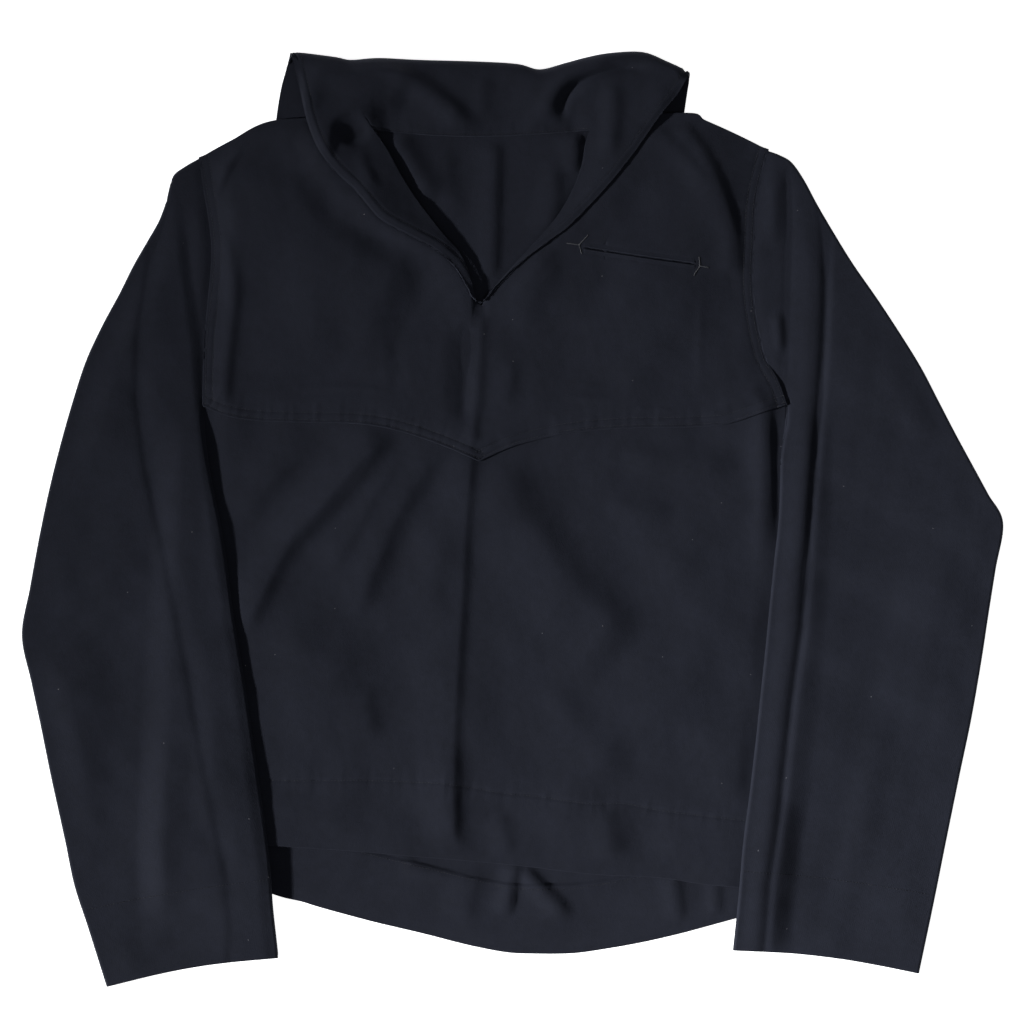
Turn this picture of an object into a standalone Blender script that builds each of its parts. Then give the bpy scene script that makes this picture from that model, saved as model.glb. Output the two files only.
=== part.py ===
"""Sailor's wool jumper laid flat on its back, as a standalone Blender 4.5 model.

The garment lies in the XY plane with its neck towards +Y and its front towards +Z. The wearer's
right side is at -X. The origin is at the middle of its outline, on the surface that it lies on.
Each piece of cloth is one open sheet, laid out between its own edge lines, lifted by what lies
under it and by its folds, and given its wall by Solidify. Tables and sizes are in millimetres.
"""

import math
from typing import NamedTuple

import bmesh
import bpy
import numpy as np

MM = 0.001

# Cloth, mm
PLY = 1.6  # one ply of the heavy wool
TURNED = 3.1  # a turned-up hem: two plies pressed together
COLLAR_WALL = 2.6  # upper and under collar, stitched flat
SEAM = 0.35  # air between two pieces that are sewn together
LAP_AIR = 0.6  # air between the front yoke and what it laps over, and under the pocket's welts
COLLAR_AIR = 0.8  # air between the collar and the rounded front under it
SLEEVE_FOLD = 2.6  # height of a folded sleeve edge, middle of wall to middle of wall
SLEEVE_AIR = 1.0  # air between a sleeve and the front that it lies on
FOLD_WALL = 0.9  # a sleeve's folds stand this far out from the middle of the wall
CUFF_HOLLOW = 4.0  # the cuff's edge curves in by this much
CLOSE_OVER = 22.0  # the front comes down to the back over this distance from its edges

# Hems, seams and pocket, mm
HEM_DEPTH = 55.0
LAP = 12.0  # the lower front runs up this far under the front yoke
WELT_WIDTH = 3.6
WELT_WALL = 1.2
WELT_SLIT = 0.9

# Collar, mm
FLAP_LIFT = COLLAR_WALL + 0.6  # the back lies this high where the collar's flap is under it
FLAP_SPREAD = 58.0  # the back is down on the surface again this far outside the flap
FLAP_MARGIN = 14.0  # the back starts to come down this far outside the flap
ROLL_RADIUS = 5.6  # of the collar's roll at its top edge
ROLL_SLOPE = 52.0  # length over which the collar comes down from its roll
RIM_RISE = 4.0  # the front stands up this much under the collar's outer edge
RIM_AT_NECK = 0.4  # share of that rise at the neck opening
RIM_SPREAD = 28.0
YOKE_INSET = 3.0  # the collar reaches this far beyond the yoke's neck edge

NAVY = (0.0135, 0.0152, 0.0225, 1.0)
NAVY_INSIDE = (0.0125, 0.0142, 0.0212, 1.0)


class Point(NamedTuple):
    """A point of an edge line."""

    x: float
    y: float


class Side(NamedTuple):
    """The body's two side edges at one height up the garment."""

    y: float
    right: float
    left: float


class Station(NamedTuple):
    """One line across a sleeve, from its outer fold to its armhole edge or inner fold."""

    outer_x: float
    outer_y: float
    inner_x: float
    inner_y: float


class Band(NamedTuple):
    """The raised band along a sleeve's inner side, at one height up the garment."""

    y: float
    inner: float  # x where it rises
    valley: float  # x of the valley behind it
    height: float


class Fold(NamedTuple):
    """A soft ridge, or a trough where its height is negative, along a straight line."""

    x0: float
    y0: float
    x1: float
    y1: float
    width: float
    height: float


# The wearer's right is at -X, so "right" columns hold the smaller x.
SIDES = (
    Side(y=-330, right=-262, left=181),
    Side(y=-294, right=-262, left=186),
    Side(y=-255, right=-262, left=190),
    Side(y=-220, right=-261, left=195),
    Side(y=-127, right=-257, left=205),
    Side(y=-32, right=-252, left=213),
    Side(y=30, right=-249, left=217),
    Side(y=92, right=-247, left=219),
)
ARMHOLE_RIGHT = (
    Point(-247, 92), Point(-246, 139), Point(-242, 182), Point(-239.6, 212),
    Point(-241, 234), Point(-245, 258), Point(-250, 289.5),
)
ARMHOLE_LEFT = (
    Point(219, 92), Point(211, 113), Point(200, 135), Point(192, 182),
    Point(193, 227), Point(195, 258), Point(204, 296),
)
SHOULDER_RIGHT = (
    Point(-250, 289.5), Point(-225, 303), Point(-193, 318.5), Point(-140, 321),
)
SHOULDER_LEFT = (
    Point(66, 321), Point(140, 325), Point(154, 319.2), Point(178, 308.6), Point(204, 296),
)
YOKE_EDGE_RIGHT = (
    Point(-247, 90), Point(-229, 82.5), Point(-203, 78.5), Point(-162, 77), Point(-124, 76),
    Point(-92, 70.5), Point(-57, 59), Point(-27, 46),
)
YOKE_EDGE_LEFT = (
    Point(-27, 46), Point(-1, 57.5), Point(23, 64), Point(48, 69), Point(88, 72.5),
    Point(126, 73), Point(162, 74.5), Point(178, 77.5), Point(203, 86), Point(219, 91),
)
FRONT_HEM_RIGHT = (Point(-261, -257), Point(-192, -261.5), Point(-132, -265.5), Point(-78, -270), Point(-42, -273))
FRONT_HEM_LEFT = (Point(-42, -273), Point(6, -277.5), Point(67, -284.5), Point(117, -287), Point(151, -292), Point(180, -294.5))
TAIL = (
    Point(-262, -274), Point(-193, -300), Point(-170, -306), Point(-152, -311.5),
    Point(-113, -322), Point(-71, -332), Point(-34, -341.3), Point(-4, -347), Point(20, -348),
    Point(40, -348), Point(59, -346.5), Point(97, -340.2), Point(128, -333.4), Point(151, -327.4),
    Point(181.5, -319),
)
BACK_NECK = (Point(-140, 321), Point(-113, 318), Point(-66, 311), Point(-22, 310), Point(22, 311), Point(66, 321))
# The neck opening's inner edge, from the point of the V up each side.
NECK_RIGHT = (
    Point(-29, 174), Point(-39.5, 208), Point(-56.5, 229), Point(-75.5, 254), Point(-88.5, 274),
    Point(-100.5, 296), Point(-113, 313),
)
NECK_LEFT = (
    Point(-23.5, 174), Point(-6, 195), Point(14, 217), Point(32.5, 237.5), Point(46, 259),
    Point(55, 282), Point(58, 299), Point(62, 311),
)
# The collar's outer edge, from the point of the V up each side to the roll.
WING_RIGHT = (
    Point(-33, 178), Point(-36.5, 186), Point(-47.5, 203), Point(-63, 216), Point(-80.5, 225.5),
    Point(-105, 239), Point(-119, 254.5), Point(-128, 265), Point(-140, 276), Point(-152, 291),
    Point(-160, 306.5), Point(-165, 321), Point(-169, 338.5), Point(-173, 356), Point(-177, 371),
)
WING_LEFT = (
    Point(-19, 178), Point(-15, 183.5), Point(1, 200), Point(17, 214.5), Point(39, 230.5),
    Point(58, 249), Point(71, 257.5), Point(88.5, 281.5), Point(106, 307), Point(119, 325),
    Point(132, 340), Point(142, 357),
)
ROLL_LINE = (
    Point(-190, 368), Point(-182, 370), Point(-177, 373), Point(-169, 373), Point(-152, 371),
    Point(-140, 369.3), Point(-129, 367.3), Point(-107, 368.8), Point(-75, 367.3),
    Point(-26, 365.9), Point(4, 364), Point(22, 359.7), Point(43, 365), Point(58, 369),
    Point(74, 372.3), Point(93, 373.9), Point(104, 373.5), Point(112, 371.3), Point(122, 366.7),
    Point(132, 362.3), Point(141, 357.8), Point(150, 353),
)
NECK_SEAM = (Point(-113, 313), Point(-106, 310.5), Point(-66, 307), Point(-22, 306), Point(22, 308), Point(62, 311))
FLAP_TOP_RIGHT = Point(-182, 370)
FLAP_TOP_LEFT = Point(142, 357.5)
FLAP_RIGHT = Point(-204, 205)  # the flap's lower corners, hidden under the back
FLAP_LEFT = Point(121, 198)
POCKET = (Point(57, 217), Point(90, 212), Point(109, 209), Point(146, 204))

# The sleeves, from the shoulder's tip down to the cuff.
SLEEVE_RIGHT = (
    Station(outer_x=-251.5, outer_y=289.5, inner_x=-246.5, inner_y=261.9),
    Station(outer_x=-262, outer_y=282.5, inner_x=-243.2, inner_y=242.8),
    Station(outer_x=-272, outer_y=274, inner_x=-240.7, inner_y=221.9),
    Station(outer_x=-277.5, outer_y=254, inner_x=-241.2, inner_y=200.1),
    Station(outer_x=-283.5, outer_y=238, inner_x=-243.1, inner_y=180.1),
    Station(outer_x=-292, outer_y=223, inner_x=-245.1, inner_y=160.1),
    Station(outer_x=-303.5, outer_y=203, inner_x=-246.9, inner_y=139.1),
    Station(outer_x=-315, outer_y=180, inner_x=-247.6, inner_y=117.0),
    Station(outer_x=-328, outer_y=156, inner_x=-248.0, inner_y=95),
    Station(outer_x=-341.5, outer_y=127, inner_x=-247.8, inner_y=75),
    Station(outer_x=-352, outer_y=95, inner_x=-243.5, inner_y=44),
    Station(outer_x=-362, outer_y=60, inner_x=-238, inner_y=16),
    Station(outer_x=-371, outer_y=24, inner_x=-232.5, inner_y=-10),
    Station(outer_x=-379, outer_y=-14, inner_x=-228, inner_y=-40),
    Station(outer_x=-386.5, outer_y=-55, inner_x=-223.5, inner_y=-76),
    Station(outer_x=-393, outer_y=-93, inner_x=-218.5, inner_y=-106),
    Station(outer_x=-385.5, outer_y=-130, inner_x=-213.5, inner_y=-136),
    Station(outer_x=-378, outer_y=-165, inner_x=-209, inner_y=-168),
    Station(outer_x=-369.5, outer_y=-207, inner_x=-204, inner_y=-202),
    Station(outer_x=-358.5, outer_y=-257, inner_x=-197.5, inner_y=-248),
    Station(outer_x=-351, outer_y=-293, inner_x=-193.5, inner_y=-282),
    Station(outer_x=-340, outer_y=-327, inner_x=-191.5, inner_y=-312),
    Station(outer_x=-325, outer_y=-374.6, inner_x=-187.5, inner_y=-351.5),
)
SLEEVE_LEFT = (
    Station(outer_x=205.5, outer_y=295.3, inner_x=198.0, inner_y=267.8),
    Station(outer_x=214, outer_y=291.5, inner_x=194.9, inner_y=249.9),
    Station(outer_x=223.5, outer_y=285.7, inner_x=194.0, inner_y=230.0),
    Station(outer_x=233.5, outer_y=271.5, inner_x=192.9, inner_y=208.0),
    Station(outer_x=244, outer_y=252, inner_x=192.6, inner_y=188.0),
    Station(outer_x=257.5, outer_y=229, inner_x=194.7, inner_y=166.1),
    Station(outer_x=273, outer_y=204, inner_x=198.3, inner_y=146.2),
    Station(outer_x=292.5, outer_y=176, inner_x=203.3, inner_y=128.4),
    Station(outer_x=311.5, outer_y=147, inner_x=212.0, inner_y=112.9),
    Station(outer_x=327.5, outer_y=121, inner_x=219.9, inner_y=95),
    Station(outer_x=341, outer_y=95, inner_x=219.6, inner_y=76),
    Station(outer_x=355, outer_y=68, inner_x=215, inner_y=52),
    Station(outer_x=368, outer_y=44, inner_x=214.3, inner_y=26),
    Station(outer_x=381, outer_y=20, inner_x=213, inner_y=-2),
    Station(outer_x=393, outer_y=-3, inner_x=209.5, inner_y=-34),
    Station(outer_x=387, outer_y=-40, inner_x=206, inner_y=-68),
    Station(outer_x=381, outer_y=-78, inner_x=202.5, inner_y=-104),
    Station(outer_x=375.5, outer_y=-114, inner_x=198.5, inner_y=-142),
    Station(outer_x=367.5, outer_y=-160, inner_x=194.5, inner_y=-180),
    Station(outer_x=358.5, outer_y=-203, inner_x=190, inner_y=-218),
    Station(outer_x=347.5, outer_y=-257, inner_x=184.5, inner_y=-260),
    Station(outer_x=337.5, outer_y=-307, inner_x=181, inner_y=-300),
    Station(outer_x=325.5, outer_y=-364, inner_x=176.5, inner_y=-345),
)
ARMPIT_ROW_RIGHT = 8
ARMPIT_ROW_LEFT = 9
BAND_RIGHT = (
    Band(y=275, inner=-268, valley=-272, height=0.0),
    Band(y=250, inner=-265, valley=-275, height=1.0),
    Band(y=189, inner=-257, valley=-287, height=3.0),
    Band(y=95, inner=-249, valley=-300, height=4.5),
    Band(y=39, inner=-243, valley=-292, height=5.0),
    Band(y=-19, inner=-231, valley=-279, height=5.0),
    Band(y=-109, inner=-218, valley=-261, height=4.8),
    Band(y=-205, inner=-204, valley=-244, height=4.2),
    Band(y=-282, inner=-193, valley=-228, height=3.4),
    Band(y=-330, inner=-190, valley=-224, height=2.6),
    Band(y=-375, inner=-186, valley=-227, height=2.6),
)
BAND_LEFT = (
    Band(y=275, inner=220, valley=238, height=0.0),
    Band(y=257, inner=227, valley=247, height=1.5),
    Band(y=227, inner=227, valley=252, height=3.5),
    Band(y=182, inner=225, valley=252, height=4.5),
    Band(y=143, inner=222, valley=250, height=5.0),
    Band(y=63, inner=215, valley=244, height=5.0),
    Band(y=-22, inner=211, valley=237, height=5.0),
    Band(y=-88, inner=204, valley=232, height=5.0),
    Band(y=-145, inner=198, valley=224, height=4.6),
    Band(y=-229, inner=189, valley=215, height=4.2),
    Band(y=-293, inner=182, valley=206, height=3.4),
    Band(y=-330, inner=178, valley=203, height=2.6),
    Band(y=-375, inner=174, valley=200, height=2.6),
)
# Across a sleeve: shares of its width, fine beside the inner fold.
UNDER_SHARES = (0.04, 0.1, 0.17, 0.24, 0.32, 0.41, 0.52, 0.67, 0.83, 0.96)
UPPER_SHARES = (0.04, 0.08, 0.12, 0.17, 0.22, 0.28, 0.35, 0.45, 0.58, 0.72, 0.87, 0.96)

FRONT_FOLDS = (
    Fold(x0=-164, y0=262, x1=-78, y1=198, width=17, height=-1.6),
    Fold(x0=-150, y0=180, x1=-60, y1=120, width=55, height=1.3),
    Fold(x0=60, y0=170, x1=150, y1=120, width=60, height=1.2),
    Fold(x0=152, y0=312, x1=187, y1=215, width=14, height=1.3),
    Fold(x0=-96, y0=58, x1=-182, y1=-5, width=14, height=-1.2),
    Fold(x0=-78, y0=40, x1=-175, y1=-40, width=16, height=1.5),
    Fold(x0=-55, y0=48, x1=-118, y1=-85, width=14, height=-1.2),
    Fold(x0=-160, y0=-18, x1=-218, y1=-94, width=14, height=-1.0),
    Fold(x0=-45, y0=20, x1=-60, y1=-120, width=16, height=1.3),
    Fold(x0=45, y0=-45, x1=106, y1=-108, width=15, height=-1.2),
    Fold(x0=70, y0=-30, x1=135, y1=-80, width=18, height=1.2),
    Fold(x0=174, y0=-35, x1=92, y1=-220, width=16, height=1.2),
    Fold(x0=-42, y0=-190, x1=-46, y1=-290, width=11, height=-1.4),
    Fold(x0=142, y0=-240, x1=152, y1=-300, width=12, height=-1.2),
)
SLEEVE_FOLDS = (
    Fold(x0=-345, y0=60, x1=-330, y1=-200, width=30, height=1.3),
    Fold(x0=330, y0=40, x1=300, y1=-200, width=30, height=1.4),
    Fold(x0=285, y0=150, x1=350, y1=-40, width=26, height=1.2),
)
COLLAR_FOLDS = (
    Fold(x0=-108, y0=362, x1=-46, y1=324, width=8, height=2.2),
    Fold(x0=-90, y0=364, x1=-32, y1=330, width=8, height=-2.2),
    Fold(x0=105, y0=360, x1=38, y1=332, width=9, height=-2.4),
    Fold(x0=81, y0=350, x1=80, y1=300, width=9, height=1.8),
)


def ease(t: np.ndarray) -> np.ndarray:
    """A smooth step from 0 to 1."""
    t = np.clip(t, 0.0, 1.0)
    return t * t * (3.0 - 2.0 * t)


def curve(points, samples: int = 16) -> np.ndarray:
    """A dense smooth line through the points."""
    p = np.array(points, float)
    p = np.vstack([2 * p[0] - p[1], p, 2 * p[-1] - p[-2]])
    t = np.linspace(0.0, 1.0, samples, endpoint=False)[:, None]
    runs = [
        0.5 * (2 * b + (c - a) * t + (2 * a - 5 * b + 4 * c - d) * t**2 + (3 * b - a - 3 * c + d) * t**3)
        for a, b, c, d in zip(p, p[1:], p[2:], p[3:])
    ]
    return np.vstack([*runs, p[-2:-1]])


class Edge:
    """An edge line of a panel, made of smooth runs that each take a stated share of it."""

    def __init__(self, *runs, shares=None):
        """Lays the runs end to end; a run is a table of points."""
        shares = shares or [1.0 / len(runs)] * len(runs)
        at, xy, start = [], [], 0.0
        for points, share in zip(runs, shares):
            line = curve(points)
            length = np.concatenate([[0.0], np.cumsum(np.linalg.norm(np.diff(line, axis=0), axis=1))])
            at.append(start + share * length / length[-1])
            xy.append(line)
            start += share
        self.at, self.xy = np.concatenate(at), np.vstack(xy)

    def __call__(self, t: np.ndarray) -> np.ndarray:
        """The points at shares t of the line."""
        return np.column_stack([np.interp(t, self.at, self.xy[:, k]) for k in (0, 1)])

    def away(self, p: np.ndarray) -> np.ndarray:
        """Each point's distance from the line."""
        start, run = self.xy[:-1], np.diff(self.xy, axis=0)
        length = np.maximum((run**2).sum(1), 1e-9)
        from_start = p[:, None, :] - start[None, :, :]
        along = np.clip((from_start * run).sum(2) / length, 0.0, 1.0)
        return np.linalg.norm(from_start - along[:, :, None] * run, axis=2).min(1)


def panel(left: Edge, right: Edge, bottom: Edge, top: Edge, u: np.ndarray, v: np.ndarray) -> np.ndarray:
    """The points at shares u across and v up a panel that fills its four edge lines."""
    across, up = u[:, None], v[:, None]
    ends = np.array([0.0, 1.0])
    bulge = []
    for side in (left, right):
        start, end = side(ends)
        bulge.append(side(v) - (1 - up) * start - up * end)
    return (1 - up) * bottom(u) + up * top(u) + (1 - across) * bulge[0] + across * bulge[1]


def side_edge(column: str, low: float, high: float) -> tuple:
    """One of the body's side edges between two heights, as a table of points."""
    inner = [row.y for row in SIDES if low + 8 < row.y < high - 8]
    return tuple(Point(float(side_x(column, y)), y) for y in (low, *inner, high))


def side_x(column: str, y):
    """Where one of the body's side edges is at each height y."""
    return np.interp(y, [row.y for row in SIDES], [getattr(row, column) for row in SIDES])


def folds(p: np.ndarray, table) -> np.ndarray:
    """The height that the folds of a table add at each point."""
    total = np.zeros(len(p))
    for row in table:
        start, run = np.array([row.x0, row.y0]), np.array([row.x1 - row.x0, row.y1 - row.y0])
        t = (p - start) @ run / (run @ run)
        reach = np.clip(t, 0.0, 1.0)[:, None]
        away = np.linalg.norm(p - start - reach * run, axis=1)
        total += row.height * np.exp(-((away / row.width) ** 2)) * ease(t / 0.3 + 0.5) * ease((1 - t) / 0.3 + 0.5)
    return total


ARM_RIGHT, ARM_LEFT = Edge(ARMHOLE_RIGHT), Edge(ARMHOLE_LEFT)
SEWN = (ARM_RIGHT, ARM_LEFT, Edge(SHOULDER_RIGHT), Edge(SHOULDER_LEFT))


def x_at(points, y: np.ndarray) -> np.ndarray:
    """Where a line that climbs all the way crosses each height y."""
    line = curve(points)
    return np.interp(y, line[:, 1], line[:, 0])


def flap_lift(p: np.ndarray) -> np.ndarray:
    """How high the back lies at each point because of the collar's flap under it."""
    lift = np.ones(len(p))
    loop = (FLAP_TOP_RIGHT, FLAP_RIGHT, FLAP_LEFT, FLAP_TOP_LEFT)
    for a, b in zip(loop, loop[1:]):
        run = np.array([b.x - a.x, b.y - a.y]) / math.dist(a, b)
        inside = (p - np.array(a)) @ np.array([-run[1], run[0]])
        lift *= ease((inside + FLAP_SPREAD) / (FLAP_SPREAD - FLAP_MARGIN))
    return FLAP_LIFT * lift


def back_top(p: np.ndarray) -> np.ndarray:
    """The height of the back's upper side, leaving out its hem."""
    return flap_lift(p) + PLY


def hem_room(p: np.ndarray) -> np.ndarray:
    """How much the tail's turned-up hem lifts the front's lower end."""
    lowest = np.interp(p[:, 0], *zip(*((q.x, q.y) for q in TAIL))) + HEM_DEPTH
    return (TURNED - PLY) * ease((lowest + 40.0 - p[:, 1]) / 28.0)


def rim(p: np.ndarray) -> np.ndarray:
    """How far the front stands up along the collar's outer edge, round the neck opening."""
    y = np.clip(p[:, 1], 176.0, 321.0)
    high = RIM_RISE * np.interp(p[:, 1], (120, 150, 176, 205, 250, 300), (0.0, 0.1, 0.35, 0.7, 1.0, 1.0))
    total = np.zeros(len(p))
    for wing, neck, way in ((WING_RIGHT, NECK_RIGHT, -1.0), (WING_LEFT, NECK_LEFT, 1.0)):
        edge, inner = x_at(wing, y), x_at(neck, y)
        share = (p[:, 0] - inner) / (edge - inner)
        beyond = (p[:, 0] - edge) * way * 0.75
        climb = RIM_AT_NECK + (1.0 - RIM_AT_NECK) * ease(share)
        slope = np.where(share < 1.0, climb, np.exp(-((beyond / RIM_SPREAD) ** 2)))
        total = np.maximum(total, np.where((p[:, 0] - inner) * way > -1.0, high * slope, 0.0))
    return total


def closing(p: np.ndarray) -> np.ndarray:
    """0 where front and back are sewn together, and outside, and 1 away from those seams."""
    away = [edge.away(p) for edge in SEWN]
    away += [p[:, 0] - side_x("right", p[:, 1]), side_x("left", p[:, 1]) - p[:, 0]]
    return ease(np.min(away, axis=0) / CLOSE_OVER)


def crease(p: np.ndarray, low: float, high: float) -> np.ndarray:
    """The pressed centre crease, a narrow ridge from the V to the hem."""
    middle = np.interp(p[:, 1], (-273, -137, -40, 54, 176), (-42, -45.5, -40, -31, -26))
    away = np.abs(p[:, 0] - middle)
    return 1.3 * np.exp(-((away / 7.0) ** 2)) * ease((p[:, 1] - low) / 30) * ease((high - p[:, 1]) / 30)


def front_air(p: np.ndarray) -> np.ndarray:
    """The air under the front: its swell and folds, nothing along its sewn edges."""
    swell = 1.3 + np.clip(folds(p, FRONT_FOLDS) + crease(p, -290, 176), -1.2, 2.0)
    return SEAM + closing(p) * swell


def front_hem(p: np.ndarray) -> np.ndarray:
    """Where the front is two plies thick, at its turned-up hem."""
    edge = np.array(FRONT_HEM_RIGHT + FRONT_HEM_LEFT[1:])
    return np.interp(p[:, 0], edge[:, 0], edge[:, 1]) + HEM_DEPTH - p[:, 1]


def front_top(p: np.ndarray) -> np.ndarray:
    """The height of the lower front's upper side."""
    return back_top(p) + hem_room(p) + front_air(p) + PLY + (TURNED - PLY) * ease((front_hem(p) + 44.0) / 40.0)


def yoke_under(p: np.ndarray) -> np.ndarray:
    """The height of the front yoke's underside: over the lower front at its lap, on the back above."""
    edge_y = np.interp(p[:, 0], *zip(*((q.x, q.y) for q in YOKE_EDGE_RIGHT + YOKE_EDGE_LEFT[1:])))
    lap = 1.0 - ease((p[:, 1] - edge_y - LAP - 3.0) / 26.0)
    return back_top(p) + front_air(p) + (PLY + LAP_AIR) * lap + rim(p) * closing(p)


def wing_under(p: np.ndarray) -> np.ndarray:
    """The height of the collar's underside where it lies on the front, rim included."""
    return back_top(p) + front_air(p) + rim(p) + PLY + COLLAR_AIR


def under_sleeve(p: np.ndarray, column: str) -> np.ndarray:
    """The height that a sleeve lies at: on the body's side, and down beyond its edge, armpit and hem."""
    edge = side_x(column, p[:, 1])
    inside = (p[:, 0] - edge) if column == "right" else (edge - p[:, 0])
    low, over = (-350.0, 60.0) if column == "right" else (-375.0, 55.0)
    beside = ease((inside + 40.0) / 26.0) * ease((92.0 - p[:, 1]) / 14.0)
    return (front_top(p) + SLEEVE_AIR) * beside * ease((p[:, 1] - low) / over)


def sheet(name: str, across: np.ndarray, up: np.ndarray, place):
    """A grid of cloth. place turns shares across and up into points in mm; points that meet are joined."""
    bm = bmesh.new()
    nu, nv = len(across) - 1, len(up) - 1
    bmesh.ops.create_grid(bm, x_segments=nu, y_segments=nv, size=0.5)
    verts = list(bm.verts)
    flat = np.array([vert.co[:2] for vert in verts]) + 0.5
    u = np.interp(flat[:, 0], np.linspace(0, 1, nu + 1), across)
    v = np.interp(flat[:, 1], np.linspace(0, 1, nv + 1), up)
    for vert, point in zip(verts, place(u, v)):
        vert.co = point * MM
    bmesh.ops.remove_doubles(bm, verts=bm.verts[:], dist=1e-6)
    mesh = bpy.data.meshes.new(name)
    bm.to_mesh(mesh)
    bm.free()
    mesh.shade_smooth()
    return bpy.data.objects.new(name, mesh)


def wall(obj, thickness: float, offset: float, turned: float = 0.0, is_turned=None, even=True) -> None:
    """Gives a sheet its wall, thicker at the points that is_turned picks."""
    solid = obj.modifiers.new("wall", "SOLIDIFY")
    solid.thickness = max(thickness, turned) * MM
    solid.offset = offset
    solid.use_even_offset = even
    solid.use_quality_normals = True
    if is_turned is not None:
        group = obj.vertex_groups.new(name="turned up")
        p = np.array([vert.co for vert in obj.data.vertices]) / MM
        for index, two_plies in enumerate(is_turned(p)):
            group.add([index], float(two_plies), "REPLACE")
        solid.vertex_group = group.name
        solid.thickness_vertex_group = thickness / turned


def spaced(*knots) -> np.ndarray:
    """Shares from 0 to 1: pairs of a share and the number of steps that lead to it."""
    runs, start = [np.array([0.0])], 0.0
    for share, steps in knots:
        runs.append(np.linspace(start, share, steps + 1)[1:])
        start = share
    return np.concatenate(runs)


def make_back():
    """The back, in one piece, with its tail's hem turned up on the inside."""
    side_share = 0.62
    left = Edge(side_edge("right", -272, 92), ARMHOLE_RIGHT, shares=(side_share, 1 - side_share))
    right = Edge(side_edge("left", -315, 92), ARMHOLE_LEFT, shares=(side_share, 1 - side_share))
    top = Edge(SHOULDER_RIGHT, BACK_NECK, SHOULDER_LEFT, shares=(0.26, 0.44, 0.30))
    bottom = Edge(TAIL)

    def place(u, v):
        p = panel(left, right, bottom, top, u, v)
        return np.column_stack([p, flap_lift(p)])

    up = spaced((0.085, 2), (0.092, 1), (side_share, 9), (1.0, 9))
    obj = sheet("back", spaced((1.0, 22)), up, place)
    wall(obj, PLY, 1.0, TURNED, lambda p: p[:, 1] < np.interp(p[:, 0], *zip(*TAIL)) + HEM_DEPTH)
    return obj


def make_front_body():
    """The lower front, which runs up under the yoke and has a deep hem."""
    top = Edge(
        [Point(q.x, q.y + (LAP if q.x > -240 else 2.0)) for q in YOKE_EDGE_RIGHT],
        [Point(q.x, q.y + (LAP if q.x < 190 else 2.0)) for q in YOKE_EDGE_LEFT],
    )
    left = Edge(side_edge("right", -257, 92))
    right = Edge(side_edge("left", -294.5, 92))
    bottom = Edge(FRONT_HEM_RIGHT, FRONT_HEM_LEFT)

    def place(u, v):
        p = panel(left, right, bottom, top, u, v)
        return np.column_stack([p, front_top(p)])

    obj = sheet("front_body", spaced((1.0, 24)), spaced((0.150, 2), (0.165, 1), (1.0, 14)), place)
    wall(obj, PLY, -1.0, TURNED, lambda p: front_hem(p) > 0.0)
    return obj


def make_yoke():
    """The upper front with the V slit, lapped over the lower front."""
    neck_right = [Point(q.x - YOKE_INSET, q.y - 1.0) for q in NECK_RIGHT[:0:-1]] + [NECK_RIGHT[0]]
    neck_left = [NECK_LEFT[0]] + [Point(q.x + YOKE_INSET, q.y - 1.0) for q in NECK_LEFT[1:]]
    top = Edge(SHOULDER_RIGHT, neck_right, neck_left, SHOULDER_LEFT, shares=(0.19, 0.31, 0.29, 0.21))
    bottom = Edge(YOKE_EDGE_RIGHT, YOKE_EDGE_LEFT)

    def place(u, v):
        p = panel(ARM_RIGHT, ARM_LEFT, bottom, top, u, v)
        return np.column_stack([p, yoke_under(p)])

    obj = sheet("front_yoke", spaced((0.5, 14), (1.0, 14)), spaced((0.1, 2), (1.0, 13)), place)
    wall(obj, PLY, 1.0)
    return obj


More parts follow.
